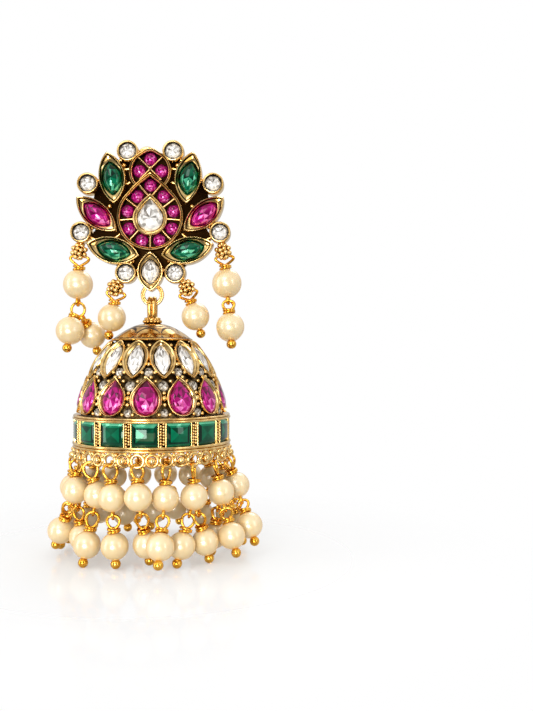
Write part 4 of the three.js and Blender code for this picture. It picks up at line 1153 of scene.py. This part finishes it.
def in_fringe(turn, out, down):
    """A pearl of the fringe: its centre, out from the gallery's middle line and down from the
    band's foot, and its radius."""
    return around(turn, GALLERY_RADIUS + out, BAND_FOOT - down), PEARL


for k, (upper, *lowers) in enumerate(FRINGE):
    ring_turn = GALLERY_FIRST + GALLERY_STEP * (k - 3)
    hook = around(ring_turn, GALLERY_RADIUS, GALLERY_Z - 0.62)
    side = np.cross(outwards(ring_turn + 48), (0, 0, 1))
    number = str(k + 1).zfill(2)
    pearl_string("pearl_string_" + number, "fringe_strand_" + number, "dome", hook, side,
                 in_fringe(*upper), [in_fringe(*low) for low in lowers], 2.4, 0.25)


# The studio: a glossy white floor just under the lowest pearls, soft lights and the camera.
FLOOR_Z = -64.95
FLOOR_RADIUS = 0.12
IMAGE_HEIGHT = 711
FOCAL_PIXELS = 830
SENSOR = 36
CAMERA_PLACE = (21.4, -155.1, -28.5)
camera_data = bpy.data.cameras.new("camera")
camera_data.sensor_fit = "VERTICAL"
camera_data.sensor_height = SENSOR
camera_data.lens = FOCAL_PIXELS / IMAGE_HEIGHT * SENSOR
camera_data.clip_start = 0.005
camera = bpy.data.objects.new("camera", camera_data)
camera.location = [value * MM for value in CAMERA_PLACE]
camera.rotation_euler = (np.pi / 2, 0, 0)
bpy.context.scene.collection.objects.link(camera)
bpy.context.scene.camera = camera

floor_look = Finish("floor_white", Roughness=0.05, Base_Color=(0.93, 0.93, 0.93, 1), IOR=1.6)
place = floor_look.node("ShaderNodeTexCoord", output="Object")
reach = floor_look.node("ShaderNodeVectorMath", {"operation": "LENGTH"}, {0: place}, "Value")
floor_look.set(Alpha=1 - reach.between(0.04, 0.1))
angle = 2 * np.pi * np.arange(64) / 64
floor_mesh = bpy.data.meshes.new("floor")
floor_edge = [(FLOOR_RADIUS * np.cos(a), FLOOR_RADIUS * np.sin(a), FLOOR_Z * MM) for a in angle]
floor_mesh.from_pydata(floor_edge, [], [list(range(64))])
floor_mesh.materials.append(floor_look.material)
floor = bpy.data.objects.new("floor", floor_mesh)
bpy.context.scene.collection.objects.link(floor)


EARRING_MIDDLE = (0, 0, -0.03)


def softbox(name, place, size, brightness, colour=(1, 1, 1)):
    """A rectangular light that faces the middle of the earring. place and size are in metres, and its
    power is brightness times pi times its area, so a white card in front of it looks that bright."""
    data = bpy.data.lights.new(name, "AREA")
    data.shape = "RECTANGLE"
    data.size, data.size_y = size
    data.energy = brightness * np.pi * size[0] * size[1]
    data.color = colour
    box = bpy.data.objects.new(name, data)
    box.location = place
    away = np.array(place) - EARRING_MIDDLE
    flat = np.hypot(away[0], away[1])
    box.rotation_euler = (np.arctan2(flat, away[2]), 0, np.arctan2(away[0], -away[1]))
    bpy.context.scene.collection.objects.link(box)


softbox("key", (-0.11, -0.34, 0.2), (0.18, 0.18), 4.0)
softbox("front", (-0.06, -0.36, -0.055), (0.13, 0.13), 14.0)
softbox("front_low", (0.02, -0.36, -0.1), (0.3, 0.12), 2.1, (1.0, 0.82, 0.54))
softbox("fill", (0.3, -0.26, 0.06), (0.08, 0.26), 3.5)
softbox("left_strip", (-0.34, -0.12, 0.0), (0.07, 0.36), 4.0)
softbox("back_edge", (0.1, 0.36, 0.34), (0.3, 0.2), 3.0)

world = bpy.data.worlds.new("studio")
world.use_nodes = True
around_it = Nodes(world.node_tree)
background = next(n for n in around_it.tree.nodes if n.type == "BACKGROUND")
way = around_it.node("ShaderNodeTexCoord", output="Generated")
way_x, way_y, way_z = (around_it.node("ShaderNodeSeparateXYZ", None, {0: way}, axis) for axis in "XYZ")
# The tent round the earring is white overhead, at the sides and behind, and dark where the
# camera stands. The camera itself sees plain white.
tent = (way_z.between(0.1, 0.8) * 0.75 + (way_x * way_x).between(0.25, 0.8) * 0.45
        + way_y.between(0.2, 0.9) * 0.45 + 0.16)
seen = around_it.node("ShaderNodeLightPath", output="Is Camera Ray")
around_it.feed(background.inputs[0], around_it.mix(seen, tent, (1, 1, 1, 1)))
bpy.context.scene.world = world
bpy.context.scene.view_settings.view_transform = "Standard"
